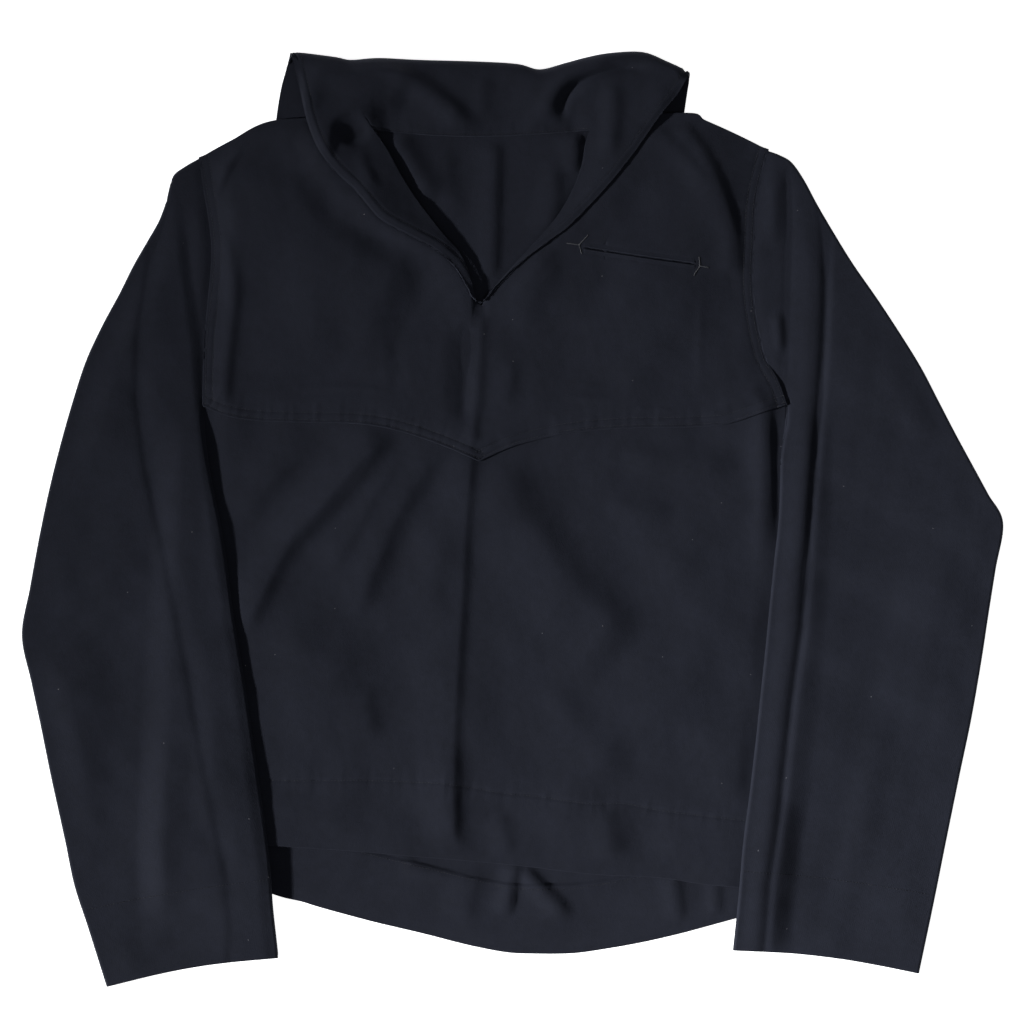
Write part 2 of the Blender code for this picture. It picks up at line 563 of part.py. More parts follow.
def make_collar():
    """The sailor collar: wings on the front, a roll at the top and a square flap under the back."""
    roll = curve(ROLL_LINE)
    flat_right = Point(FLAP_RIGHT.x, 2 * FLAP_TOP_RIGHT.y - FLAP_RIGHT.y)
    flat_left = Point(FLAP_LEFT.x, 2 * FLAP_TOP_LEFT.y - FLAP_LEFT.y)
    outer = Edge(
        WING_RIGHT,
        (FLAP_TOP_RIGHT, flat_right),
        (flat_right, flat_left),
        (flat_left, FLAP_TOP_LEFT),
        WING_LEFT[::-1],
        shares=(0.27, 0.08, 0.30, 0.08, 0.27),
    )
    inner = Edge(NECK_RIGHT, NECK_SEAM, NECK_LEFT[::-1], shares=(0.31, 0.38, 0.31))
    roll_band = (0.36, 0.64)  # the rows that make the roll

    def place(u, v):
        start, end = inner(u), outer(u)
        length = np.linalg.norm(end - start, axis=1)
        cross = np.full(len(u), 0.8)
        for _ in range(6):
            x = start[:, 0] + cross * (end[:, 0] - start[:, 0])
            climb = np.maximum(end[:, 1] - start[:, 1], 1.0)
            cross = np.clip((np.interp(x, roll[:, 0], roll[:, 1]) - start[:, 1]) / climb, 0.0, 0.93)
        half = np.minimum(1.1 * ROLL_RADIUS / length, 0.14)
        lower, upper = cross - half, cross + np.minimum(half, 0.7 * (1.0 - cross))
        share = np.select(
            [v < roll_band[0], v < roll_band[1]],
            [lower * v / roll_band[0], lower + (upper - lower) * (v - roll_band[0]) / (roll_band[1] - roll_band[0])],
            upper + (1 - upper) * (v - roll_band[1]) / (1 - roll_band[1]),
        )
        p = start + share[:, None] * (end - start)
        top_y = np.interp(p[:, 0], roll[:, 0], roll[:, 1]) - COLLAR_WALL / 2
        past = p[:, 1] - top_y
        turn = np.clip(past / ROLL_RADIUS, -1.0, 1.0) * math.pi / 2
        rolled = top_y - ROLL_RADIUS + ROLL_RADIUS * np.cos(turn)
        straight = np.interp(p[:, 0], (FLAP_TOP_RIGHT.x, FLAP_TOP_LEFT.x), (FLAP_TOP_RIGHT.y, FLAP_TOP_LEFT.y))
        settle = 2.0 * (straight - top_y) * ease((past - ROLL_RADIUS) / 90.0)
        y = np.select([past < -ROLL_RADIUS, past > ROLL_RADIUS], [p[:, 1], top_y - past + settle], rolled)
        low = COLLAR_WALL / 2
        crest = low + ROLL_RADIUS * (1.0 - np.sin(turn))
        down = ease((-past - ROLL_RADIUS) / ROLL_SLOPE)
        upper_side = np.column_stack([p[:, 0], np.minimum(p[:, 1], 330.0)])
        on_front = wing_under(upper_side) + low
        on_seam = back_top(upper_side) + SEAM + low
        near_seam = np.clip((p[:, 0] - x_at(NECK_RIGHT, np.clip(p[:, 1], 174, 313))) / 14.0, 0, 1)
        near_seam *= np.clip((x_at(NECK_LEFT, np.clip(p[:, 1], 174, 311)) - p[:, 0]) / 14.0, 0, 1)
        lying = on_front + (on_seam - on_front) * ease(near_seam)
        z = crest + down * (lying - (low + 2 * ROLL_RADIUS))
        z += folds(np.column_stack([p[:, 0], y]), COLLAR_FOLDS) * (past < 0) * ease(-past / 12.0)
        return np.column_stack([p[:, 0], y, z])

    obj = sheet("collar", spaced((0.31, 14), (0.69, 14), (1.0, 14)), spaced((0.36, 5), (0.64, 5), (1.0, 5)), place)
    wall(obj, COLLAR_WALL, 0.0, even=False)
    return obj


def ring(under_shares, upper_shares) -> tuple:
    """The points round a sleeve: which are on the upper ply, their fixed mm and their share of the width."""
    runs = []
    for shares in (under_shares, upper_shares):
        inner = [(0.0, 0.0), (0.8, 0.0), (3.0, 0.0)]
        outer = [(3.0, 1.0), (5.2, 1.0), (6.0, 1.0)]
        runs.append(np.array(inner + [(3.0, share) for share in shares] + outer))
    upper = np.repeat([False, True], [len(runs[0]), len(runs[1]) - 1])
    table = np.vstack([runs[0], runs[1][-2::-1]])
    return upper, table[:, 0], table[:, 1]


def make_sleeve(name: str, column: str, stations, armpit: int, band):
    """A sleeve: one cloth folded at its outer edge, joined below the armpit and open at the armhole."""
    outer = [(row.outer_x, row.outer_y) for row in stations]
    inner = [(row.inner_x, row.inner_y) for row in stations]
    outer_edge, inner_edge = Edge(outer), Edge(inner[armpit:])
    outer_line, inner_line = curve(outer), curve(inner)
    rows = np.linspace(0.0, 1.0, len(outer_line))
    upper_ply, fixed, shares = ring(UNDER_SHARES, UPPER_SHARES)
    inner_tip, outer_tip = (fixed == 0.0), (fixed == 6.0)
    band_y, band_in, band_out, band_high = np.array(band[::-1]).T
    armpit_at = armpit / (len(stations) - 1)

    def place(u, v):
        a = np.column_stack([np.interp(v, rows, inner_line[:, k]) for k in (0, 1)])
        b = np.column_stack([np.interp(v, rows, outer_line[:, k]) for k in (0, 1)])
        joined = v > armpit_at - 1e-6
        width = np.linalg.norm(b - a, axis=1)
        outward = (b - a) / width[:, None]
        a, b = a + FOLD_WALL * outward * joined[:, None], b - FOLD_WALL * outward
        width = np.linalg.norm(b - a, axis=1)
        column_at = np.rint(u * (len(fixed) - 1)).astype(int)
        along = fixed[column_at] + shares[column_at] * (width - 6.0)
        p = a + (along / width)[:, None] * (b - a)
        tip = outer_tip[column_at] | (inner_tip[column_at] & joined)
        from_inner = np.where(joined, inner_edge.away(p), 99.0)
        nearest = (np.minimum(from_inner, outer_edge.away(p)) - FOLD_WALL) / (SLEEVE_FOLD / 2)
        half = SLEEVE_FOLD / 2 * np.sqrt(np.clip(1.0 - (1.0 - np.clip(nearest, 0, 1)) ** 2, 0, 1))
        start, valley = np.interp(p[:, 1], band_y, band_in), np.interp(p[:, 1], band_y, band_out)
        across = np.clip((p[:, 0] - start) / (valley - start), 0.0, 1.0)
        ridge = np.interp(p[:, 1], band_y, band_high) * np.sin(math.pi * across**0.7) ** 0.8
        broad = (1.2 + folds(p, SLEEVE_FOLDS)) * ease(np.abs(p[:, 0] - valley) / 40.0) * (across >= 1.0)
        swell = (ridge + broad) * ease(outer_edge.away(p) / 30.0) * ease(v / 0.2)
        middle = PLY / 2 + SLEEVE_FOLD / 2 + under_sleeve(p, column)
        z = np.select([tip, upper_ply[column_at]], [middle, middle + half + swell], middle - half)
        p[:, 1] += CUFF_HOLLOW * np.sin(math.pi * along / width) * ease((v - 0.9) / 0.1)
        return np.column_stack([p, z])

    up = spaced((armpit_at, armpit), (1.0, 16))
    obj = sheet(name, spaced((1.0, len(fixed) - 1)), up, place)
    wall(obj, PLY, 0.0)
    return obj


def make_welt(name: str, way: float):
    """One folded lip of the slit pocket, above (+1) or below (-1) the slit, on the yoke."""
    line = Edge(POCKET)

    def place(u, v):
        middle = line(u)
        near, far = WELT_SLIT / 2, WELT_SLIT / 2 + WELT_WIDTH
        shift = np.where(way > 0, near + v * (far - near), -far + v * (far - near))
        p = middle + np.column_stack([0.0 * shift, shift])
        return np.column_stack([p, yoke_under(p) + PLY + LAP_AIR])

    obj = sheet(name, spaced((1.0, 14)), spaced((1.0, 2)), place)
    wall(obj, WELT_WALL, 1.0)
    return obj


def cloth_material(name: str, colour) -> bpy.types.Material:
    """Dull dark-blue wool."""
    made = bpy.data.materials.new(name)
    made.use_nodes = True
    shader = made.node_tree.nodes["Principled BSDF"]
    shader.inputs["Base Color"].default_value = colour
    shader.inputs["Roughness"].default_value = 0.9
    shader.inputs["Metallic"].default_value = 0.0
    return made


def main() -> None:
    """Clears the scene and builds each piece of the jumper."""
    for obj in list(bpy.data.objects):
        bpy.data.objects.remove(obj)
    jumper = bpy.data.collections.new("sailor_jumper")
    bpy.context.scene.collection.children.link(jumper)
    pieces = [
        (make_back(), NAVY_INSIDE),
        (make_front_body(), NAVY),
        (make_yoke(), NAVY),
        (make_collar(), NAVY),
        (make_sleeve("sleeve_right", "right", SLEEVE_RIGHT, ARMPIT_ROW_RIGHT, BAND_RIGHT), NAVY),
        (make_sleeve("sleeve_left", "left", SLEEVE_LEFT, ARMPIT_ROW_LEFT, BAND_LEFT), NAVY),
        (make_welt("pocket_welt_upper", 1.0), NAVY),
        (make_welt("pocket_welt_lower", -1.0), NAVY),
    ]
    for obj, colour in pieces:
        obj.data.materials.append(cloth_material(obj.name + "_wool", colour))
        jumper.objects.link(obj)


main()
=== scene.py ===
"""Looks of a sailor's wool jumper laid flat on its back: its cloth, seams, stitches, finish and studio.

Sizes are in millimetres until a mesh is made, and in metres after that. The garment lies in the XY
plane with its neck towards +Y and its front up, and the wearer's right is at -X. Each piece of cloth
is one sheet. It is laid out between its own edge lines, lifted by what lies under it, creased along
the lines where the real cloth is creased, and then given its wall.
"""

import logging
import math
from dataclasses import dataclass
from enum import Enum
from typing import Callable, NamedTuple, Sequence

import bmesh
import bpy
import numpy as np
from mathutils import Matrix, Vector
from mathutils.bvhtree import BVHTree


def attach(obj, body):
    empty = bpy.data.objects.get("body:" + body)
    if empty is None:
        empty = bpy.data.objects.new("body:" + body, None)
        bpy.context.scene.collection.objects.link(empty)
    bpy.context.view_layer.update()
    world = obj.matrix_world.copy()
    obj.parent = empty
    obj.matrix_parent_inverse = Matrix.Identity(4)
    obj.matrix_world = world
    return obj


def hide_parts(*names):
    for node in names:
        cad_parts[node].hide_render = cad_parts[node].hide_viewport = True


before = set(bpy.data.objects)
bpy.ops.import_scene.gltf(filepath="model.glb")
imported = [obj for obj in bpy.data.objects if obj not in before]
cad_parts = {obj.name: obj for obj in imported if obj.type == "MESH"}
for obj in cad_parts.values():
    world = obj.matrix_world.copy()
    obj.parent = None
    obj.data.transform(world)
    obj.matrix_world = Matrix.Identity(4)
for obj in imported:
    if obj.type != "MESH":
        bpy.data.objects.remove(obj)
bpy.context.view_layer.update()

MM = 0.001
BODY = "root"

LOG = logging.getLogger("sailor_jumper")

Place = Callable[[np.ndarray, np.ndarray], tuple[np.ndarray, np.ndarray]]


class Point(NamedTuple):
    """A point of a line in the cloth, seen from above."""

    x: float
    y: float


class Side(NamedTuple):
    """The body's two side edges at one height up the garment."""

    y: float
    right: float
    left: float


class Station(NamedTuple):
    """One line across a sleeve, from its outer fold to its armhole edge or inner fold."""

    outer_x: float
    outer_y: float
    inner_x: float
    inner_y: float


class Band(NamedTuple):
    """The raised band along a sleeve's inner side, at one height up the garment."""

    y: float
    inner: float
    valley: float
    height: float


class Wearer(Enum):
    """The wearer's two sides. The value is the way along X that leads outwards."""

    RIGHT = -1.0
    LEFT = 1.0


# The wearer's right is at -X, so "right" columns hold the smaller x.
SIDES = (
    Side(y=-330, right=-262, left=186),
    Side(y=-294, right=-262, left=190),
    Side(y=-255, right=-262, left=194),
    Side(y=-220, right=-261, left=199),
    Side(y=-127, right=-257, left=209),
    Side(y=-32, right=-252, left=216),
    Side(y=30, right=-249, left=219),
    Side(y=92, right=-247, left=219),
)
ARMHOLE_RIGHT = (
    Point(-247, 92), Point(-246, 139), Point(-242, 182), Point(-239.6, 212),
    Point(-241, 234), Point(-245, 258), Point(-250, 289.5),
)
ARMHOLE_LEFT = (
    Point(219, 92), Point(211, 113), Point(200, 135), Point(192, 182),
    Point(193, 227), Point(195, 258), Point(204, 296),
)
SHOULDER_RIGHT = (
    Point(-250, 289.5), Point(-225, 303), Point(-193, 318.5), Point(-140, 321),
)
SHOULDER_LEFT = (
    Point(66, 321), Point(140, 325), Point(154, 319.2), Point(178, 308.6), Point(204, 296),
)
YOKE_EDGE_RIGHT = (
    Point(-247, 90), Point(-229, 82.5), Point(-203, 78.5), Point(-162, 77), Point(-124, 76),
    Point(-92, 70.5), Point(-57, 59), Point(-27, 46),
)
YOKE_EDGE_LEFT = (
    Point(-27, 46), Point(-1, 57.5), Point(23, 64), Point(48, 69), Point(88, 72.5),
    Point(126, 73), Point(162, 74.5), Point(178, 77.5), Point(203, 86), Point(219, 91),
)
FRONT_HEM_RIGHT = (
    Point(-261, -257), Point(-192, -261.5), Point(-132, -265.5), Point(-78, -270), Point(-42, -273),
)
FRONT_HEM_LEFT = (
    Point(-42, -273), Point(6, -277.5), Point(67, -284.5), Point(117, -287), Point(151, -292),
    Point(187, -295.2),
)
TAIL = (
    Point(-262, -274), Point(-193, -300), Point(-170, -306), Point(-152, -311.5),
    Point(-113, -322), Point(-71, -332), Point(-34, -341.3), Point(-4, -347), Point(20, -348),
    Point(40, -348), Point(59, -346.5), Point(97, -340.2), Point(128, -333.4), Point(151, -327.4),
    Point(181.5, -319), Point(188, -317.3),
)
BACK_NECK = (
    Point(-140, 321), Point(-113, 318), Point(-66, 311), Point(-22, 310), Point(22, 311), Point(66, 321),
)
# The neck opening's inner edge, from the point of the V up each side.
NECK_RIGHT = (
    Point(-29, 174), Point(-39.5, 208), Point(-56.5, 229), Point(-75.5, 254), Point(-88.5, 274),
    Point(-100.5, 296), Point(-113, 313),
)
NECK_LEFT = (
    Point(-23.5, 174), Point(-6, 195), Point(14, 217), Point(32.5, 237.5), Point(46, 259),
    Point(55, 282), Point(58, 299), Point(62, 311),
)
# The collar's outer edge, from the point of the V up each side to the roll.
WING_RIGHT = (
    Point(-33, 178), Point(-36.5, 186), Point(-47.5, 203), Point(-63, 216), Point(-80.5, 225.5),
    Point(-105, 239), Point(-119, 254.5), Point(-128, 265), Point(-140, 276), Point(-152, 291),
    Point(-160, 306.5), Point(-165, 321), Point(-169, 338.5), Point(-173, 356), Point(-177, 371),
)
WING_LEFT = (
    Point(-19, 178), Point(-15, 183.5), Point(1, 200), Point(17, 213.5), Point(43, 232.2),
    Point(64, 253.2), Point(81, 272.3), Point(98, 294), Point(119, 324), Point(132, 340),
    Point(142, 357),
)
ROLL_LINE = (
    Point(-190, 368), Point(-182, 370), Point(-177, 373), Point(-169, 373), Point(-152, 371),
    Point(-140, 369.3), Point(-129, 367.3), Point(-107, 368.8), Point(-75, 367.3),
    Point(-26, 365.9), Point(4, 364), Point(22, 359.7), Point(43, 365), Point(58, 369),
    Point(74, 372.3), Point(93, 373.9), Point(104, 373.5), Point(112, 371.3), Point(122, 366.7),
    Point(132, 362.3), Point(141, 357.8), Point(150, 353),
)
NECK_SEAM = (
    Point(-113, 313), Point(-106, 310.5), Point(-66, 307), Point(-22, 306), Point(22, 308), Point(62, 311),
)
FLAP_TOP_RIGHT = Point(-182, 370)
FLAP_TOP_LEFT = Point(142, 357.5)
FLAP_RIGHT = Point(-204, 205)  # the flap's lower corners, hidden under the back
FLAP_LEFT = Point(121, 198)
DENT = Point(-126, 309)  # the hollow beside the neck opening's upper right corner
POCKET = (Point(57, 217), Point(90, 212), Point(109, 209), Point(146, 204))

# The sleeves, from the shoulder's tip down to the cuff.
SLEEVE_RIGHT = (
    Station(outer_x=-251.5, outer_y=289.5, inner_x=-246.5, inner_y=261.9),
    Station(outer_x=-262, outer_y=282.5, inner_x=-243.2, inner_y=242.8),
    Station(outer_x=-272, outer_y=274, inner_x=-240.7, inner_y=221.9),
    Station(outer_x=-277.5, outer_y=254, inner_x=-241.2, inner_y=200.1),
    Station(outer_x=-283.5, outer_y=238, inner_x=-243.1, inner_y=180.1),
    Station(outer_x=-292, outer_y=223, inner_x=-245.1, inner_y=160.1),
    Station(outer_x=-303.5, outer_y=203, inner_x=-246.9, inner_y=139.1),
    Station(outer_x=-315, outer_y=180, inner_x=-247.6, inner_y=117.0),
    Station(outer_x=-328, outer_y=156, inner_x=-248.0, inner_y=95),
    Station(outer_x=-341.5, outer_y=127, inner_x=-247.8, inner_y=75),
    Station(outer_x=-352, outer_y=95, inner_x=-243.5, inner_y=44),
    Station(outer_x=-362, outer_y=60, inner_x=-238, inner_y=16),
    Station(outer_x=-371, outer_y=24, inner_x=-232.5, inner_y=-10),
    Station(outer_x=-379, outer_y=-14, inner_x=-228, inner_y=-40),
    Station(outer_x=-386.5, outer_y=-55, inner_x=-223.5, inner_y=-76),
    Station(outer_x=-393, outer_y=-93, inner_x=-218.5, inner_y=-106),
    Station(outer_x=-385.5, outer_y=-130, inner_x=-213.5, inner_y=-136),
    Station(outer_x=-378, outer_y=-165, inner_x=-209, inner_y=-168),
    Station(outer_x=-369.5, outer_y=-207, inner_x=-204, inner_y=-202),
    Station(outer_x=-358.5, outer_y=-257, inner_x=-197.5, inner_y=-248),
    Station(outer_x=-351, outer_y=-293, inner_x=-193.5, inner_y=-282),
    Station(outer_x=-340, outer_y=-327, inner_x=-191.5, inner_y=-312),
    Station(outer_x=-325, outer_y=-374.6, inner_x=-187.5, inner_y=-351.5),
)
SLEEVE_LEFT = (
    Station(outer_x=205.5, outer_y=295.3, inner_x=198.0, inner_y=267.8),
    Station(outer_x=214, outer_y=291.5, inner_x=194.9, inner_y=249.9),
    Station(outer_x=223.5, outer_y=285.7, inner_x=194.0, inner_y=230.0),
    Station(outer_x=233.5, outer_y=271.5, inner_x=192.9, inner_y=208.0),
    Station(outer_x=244, outer_y=252, inner_x=192.6, inner_y=188.0),
    Station(outer_x=257.5, outer_y=229, inner_x=194.7, inner_y=166.1),
    Station(outer_x=273, outer_y=204, inner_x=198.3, inner_y=146.2),
    Station(outer_x=292.5, outer_y=176, inner_x=203.3, inner_y=128.4),
    Station(outer_x=311.5, outer_y=147, inner_x=212.0, inner_y=112.9),
    Station(outer_x=327.5, outer_y=121, inner_x=219.9, inner_y=95),
    Station(outer_x=341, outer_y=95, inner_x=219.6, inner_y=76),
    Station(outer_x=355, outer_y=68, inner_x=215, inner_y=52),
    Station(outer_x=368, outer_y=44, inner_x=214.3, inner_y=26),
    Station(outer_x=381, outer_y=20, inner_x=213, inner_y=-2),
    Station(outer_x=393, outer_y=-3, inner_x=209.5, inner_y=-34),
    Station(outer_x=387, outer_y=-40, inner_x=206, inner_y=-68),
    Station(outer_x=381, outer_y=-78, inner_x=202.5, inner_y=-104),
    Station(outer_x=375.5, outer_y=-114, inner_x=198.5, inner_y=-142),
    Station(outer_x=367.5, outer_y=-160, inner_x=194.5, inner_y=-180),
    Station(outer_x=358.5, outer_y=-203, inner_x=190, inner_y=-218),
    Station(outer_x=347.5, outer_y=-257, inner_x=184.5, inner_y=-260),
    Station(outer_x=337.5, outer_y=-307, inner_x=181, inner_y=-300),
    Station(outer_x=325.5, outer_y=-364, inner_x=176.5, inner_y=-345),
)
ARMPIT_ROW_RIGHT = 8
ARMPIT_ROW_LEFT = 9
BAND_RIGHT = (
    Band(y=284, inner=-268, valley=-276, height=1.0),
    Band(y=266, inner=-266, valley=-280, height=3.0),
    Band(y=250, inner=-263, valley=-283, height=4.0),
    Band(y=189, inner=-254, valley=-292, height=4.6),
    Band(y=143, inner=-248, valley=-299, height=4.8),
    Band(y=95, inner=-244, valley=-300, height=5.0),
    Band(y=39, inner=-238, valley=-292, height=5.2),
    Band(y=-19, inner=-229, valley=-279, height=5.2),
    Band(y=-109, inner=-216, valley=-261, height=5.0),
    Band(y=-205, inner=-203, valley=-244, height=4.6),
    Band(y=-282, inner=-193, valley=-228, height=4.0),
    Band(y=-330, inner=-190, valley=-224, height=3.2),
    Band(y=-375, inner=-186, valley=-227, height=2.6),
)
BAND_LEFT = (
    Band(y=288, inner=222, valley=236, height=1.0),
    Band(y=272, inner=222, valley=243, height=3.0),
    Band(y=257, inner=222, valley=249, height=4.0),
    Band(y=227, inner=222, valley=252, height=4.6),
    Band(y=182, inner=221, valley=251.5, height=5.0),
    Band(y=143, inner=220, valley=250, height=5.2),
    Band(y=95, inner=219, valley=247, height=5.2),
    Band(y=63, inner=217, valley=244, height=5.2),
    Band(y=-22, inner=210, valley=237, height=5.2),
    Band(y=-88, inner=203, valley=232, height=5.0),
    Band(y=-145, inner=197, valley=224, height=4.8),
    Band(y=-229, inner=188, valley=215, height=4.4),
    Band(y=-293, inner=181, valley=206, height=3.8),
    Band(y=-330, inner=178, valley=203, height=3.2),
    Band(y=-375, inner=174, valley=200, height=3.0),
)


def ease(t: np.ndarray) -> np.ndarray:
    """Gives a smooth step from 0 to 1.

    Args:
        t: Where to read the step, which rises between 0 and 1.

    Returns:
        The step's height at each t.
    """
    t = np.clip(t, 0.0, 1.0)
    return t * t * (3.0 - 2.0 * t)


def curve(points: Sequence[Point], samples: int = 12) -> np.ndarray:
    """Draws a smooth line through points.

    Args:
        points: The points, in order.
        samples: How many steps the line takes from one point to the next.

    Returns:
        The line's own points, one row each.
    """
    p = np.array(points, float)
    p = np.vstack([2 * p[0] - p[1], p, 2 * p[-1] - p[-2]])
    t = np.linspace(0.0, 1.0, samples, endpoint=False)[:, None]
    runs = [
        0.5 * (2 * b + (c - a) * t + (2 * a - 5 * b + 4 * c - d) * t**2 + (3 * b - a - 3 * c + d) * t**3)
        for a, b, c, d in zip(p, p[1:], p[2:], p[3:])
    ]
    return np.vstack([*runs, p[-2:-1]])


def spaced(*knots: tuple[float, int]) -> np.ndarray:
    """Places the lines of a grid, closer together where the cloth has more detail.

    Args:
        knots: Pairs of a share of the way and the number of steps that lead to it.

    Returns:
        Shares from 0 to the last knot.
    """
    runs, start = [np.array([0.0])], 0.0
    for share, steps in knots:
        runs.append(np.linspace(start, share, steps + 1)[1:])
        start = share
    return np.concatenate(runs)


class Line:
    """A line in the cloth, made of smooth runs that each take a stated share of it."""

    def __init__(
        self, *runs: Sequence[Point], shares: Sequence[float] | None = None, samples: int = 12
    ) -> None:
        """Lays the runs end to end.

        Args:
            runs: Tables of points.
            shares: Each run's share of the whole line, equal if they aren't given.
            samples: How many steps the line takes from one point to the next.
        """
        shares = shares or [1.0 / len(runs)] * len(runs)
        at, xy, start = [], [], 0.0
        for points, share in zip(runs, shares):
            line = curve(points, samples)
            length = np.concatenate([[0.0], np.cumsum(np.linalg.norm(np.diff(line, axis=0), axis=1))])
            at.append(start + share * length / length[-1])
            xy.append(line)
            start += share
        self.at, self.xy = np.concatenate(at), np.vstack(xy)

    def __call__(self, t: np.ndarray) -> np.ndarray:
        """Gives the points at shares t of the line."""
        return np.column_stack([np.interp(t, self.at, self.xy[:, k]) for k in (0, 1)])

    def measure(self, p: np.ndarray) -> tuple[np.ndarray, np.ndarray, float]:
        """Measures where points are beside the line.

        Args:
            p: The points, one row each.

        Returns:
            Their distance from the line, positive on its left, their place along it, and its length.
        """
        start, run = self.xy[:-1], np.diff(self.xy, axis=0)
        size = np.linalg.norm(run, axis=1)
        keep = size > 1e-6
        start, run, size = start[keep], run[keep], size[keep]
        passed = np.concatenate([[0.0], np.cumsum(size)])
        offset = p[:, None, :] - start[None, :, :]
        along = np.clip((offset * run).sum(2) / size**2, 0.0, 1.0)
        away = offset - along[:, :, None] * run
        reach = (away**2).sum(2)
        nearest = reach.argmin(1)
        row = np.arange(len(p))
        side = run[nearest, 0] * away[row, nearest, 1] - run[nearest, 1] * away[row, nearest, 0]
        distance = np.sqrt(reach[row, nearest]) * np.where(side >= 0, 1.0, -1.0)
        return distance, passed[nearest] + along[row, nearest] * size[nearest], float(passed[-1])

    def away(self, p: np.ndarray) -> np.ndarray:
        """Gives each point's distance from the line."""
        return np.abs(self.measure(p)[0])

    def beside(self, distance: float) -> np.ndarray:
        """Draws a line that runs beside this one.

        Args:
            distance: How far to the left of this line it runs.

        Returns:
            Its points, one row each.
        """
        run = np.gradient(self.xy, axis=0)
        run /= np.maximum(np.linalg.norm(run, axis=1), 1e-9)[:, None]
        return self.xy + distance * np.column_stack([-run[:, 1], run[:, 0]])


@dataclass(frozen=True)
class Crease:
    """A soft ridge along a line in the cloth, or a trough where its height is negative.

    Attributes:
        path: The points that it passes through.
        width: How far to its side it has fallen to about a third.
        height: Its height at the middle.
        lean: How much wider its left flank is than its right one.
        fade: The share of its length over which each end dies out.
    """

    path: tuple[tuple[float, float], ...]
    width: float
    height: float
    lean: float = 1.0
    fade: float = 0.3

    def lift(self, p: np.ndarray) -> np.ndarray:
        """Gives the height that it adds at each point.

        Args:
            p: The points, one row each, in millimetres.

        Returns:
            The added height, in millimetres.
        """
        line = Line([Point(*xy) for xy in self.path], samples=8)
        widest = self.width * max(self.lean, 1.0)
        low, high = line.xy.min(0) - 3 * widest, line.xy.max(0) + 3 * widest
        near = np.all((p > low) & (p < high), axis=1)
        total = np.zeros(len(p))
        if near.any():
            distance, along, length = line.measure(p[near])
            width = np.where(distance > 0, self.width * self.lean, self.width)
            ends = ease(along / (self.fade * length)) * ease((length - along) / (self.fade * length))
            total[near] = self.height * np.exp(-((distance / width) ** 2)) * ends
        return total


@dataclass(frozen=True)
class Unevenness:
    """Low, irregular waves, such as cloth keeps when it has been folded and smoothed out again.

    Attributes:
        seed: Picks one pattern of waves.
        wavelength: About how long the waves are.
        height: About how high they are.
        waves: How many single waves make up the pattern.
    """

    seed: int
    wavelength: float
    height: float
    waves: int = 11

    def lift(self, p: np.ndarray) -> np.ndarray:
        """Gives the height that it adds at each point.

        Args:
            p: The points, one row each, in millimetres.

        Returns:
            The added height, in millimetres.
        """
        rng = np.random.default_rng(self.seed)
        way = rng.uniform(0.0, 2 * math.pi, self.waves)
        size = 2 * math.pi / (self.wavelength * rng.uniform(0.7, 1.5, self.waves))
        phase = rng.uniform(0.0, 2 * math.pi, self.waves)
        wave = np.sin(p @ np.stack([np.cos(way) * size, np.sin(way) * size]) + phase)
        return self.height * wave.sum(1) / math.sqrt(self.waves)


@dataclass(frozen=True)
class Seam:
    """A stitched line that draws the cloth down, with small puckers beside it.

    Attributes:
        line: Where it runs.
        depth: How deep the stitches pull.
        width: How wide the furrow is.
        pucker: The height of the puckers beside it.
        seed: Picks their places.
    """

    line: Line
    depth: float = 0.4
    width: float = 1.3
    pucker: float = 0.13
    seed: int = 1

    def lift(self, p: np.ndarray) -> np.ndarray:
        """Gives the height that it adds at each point.

        Args:
            p: The points, one row each, in millimetres.

        Returns:
            The added height, in millimetres.
        """
        low, high = self.line.xy.min(0) - 26.0, self.line.xy.max(0) + 26.0
        near = np.all((p > low) & (p < high), axis=1)
        total = np.zeros(len(p))
        if near.any():
            distance, along, _ = self.line.measure(p[near])
            rng = np.random.default_rng(self.seed)
            waves = sum(
                np.sin(2 * math.pi * along / length + rng.uniform(0, 2 * math.pi))
                for length in (6.3, 9.1, 13.7, 21.0)
            )
            furrow = -self.depth * np.exp(-((distance / self.width) ** 2))
            total[near] = furrow + self.pucker * waves / 2.0 * np.exp(-((distance / 9.0) ** 2))
        return total


def lifted(p: np.ndarray, relief: Sequence[Crease | Unevenness | Seam]) -> np.ndarray:
    """Adds up creases, waves and seams.

    Args:
        p: The points, one row each.
        relief: What lifts or lowers the cloth there.

    Returns:
        The height that they add at each point.
    """
    return sum((part.lift(p) for part in relief), np.zeros(len(p)))


def panel(left: Line, right: Line, bottom: Line, top: Line, u: np.ndarray, v: np.ndarray) -> np.ndarray:
    """Fills four edge lines with a panel.

    Args:
        left: The edge at share 0 across.
        right: The edge at share 1 across.
        bottom: The edge at share 0 up.
        top: The edge at share 1 up.
        u: The points' shares across.
        v: The points' shares up.

    Returns:
        The points of the panel.
    """
    across, up = u[:, None], v[:, None]
    ends = np.array([0.0, 1.0])
    bulge = []
    for side in (left, right):
        start, end = side(ends)
        bulge.append(side(v) - (1 - up) * start - up * end)
    return (1 - up) * bottom(u) + up * top(u) + (1 - across) * bulge[0] + across * bulge[1]


def side_x(column: str, y: np.ndarray) -> np.ndarray:
    """Finds one of the body's side edges.

    Args:
        column: Which edge, "right" or "left".
        y: The heights up the garment.

    Returns:
        The edge's x at each height.
    """
    return np.interp(y, [row.y for row in SIDES], [getattr(row, column) for row in SIDES])


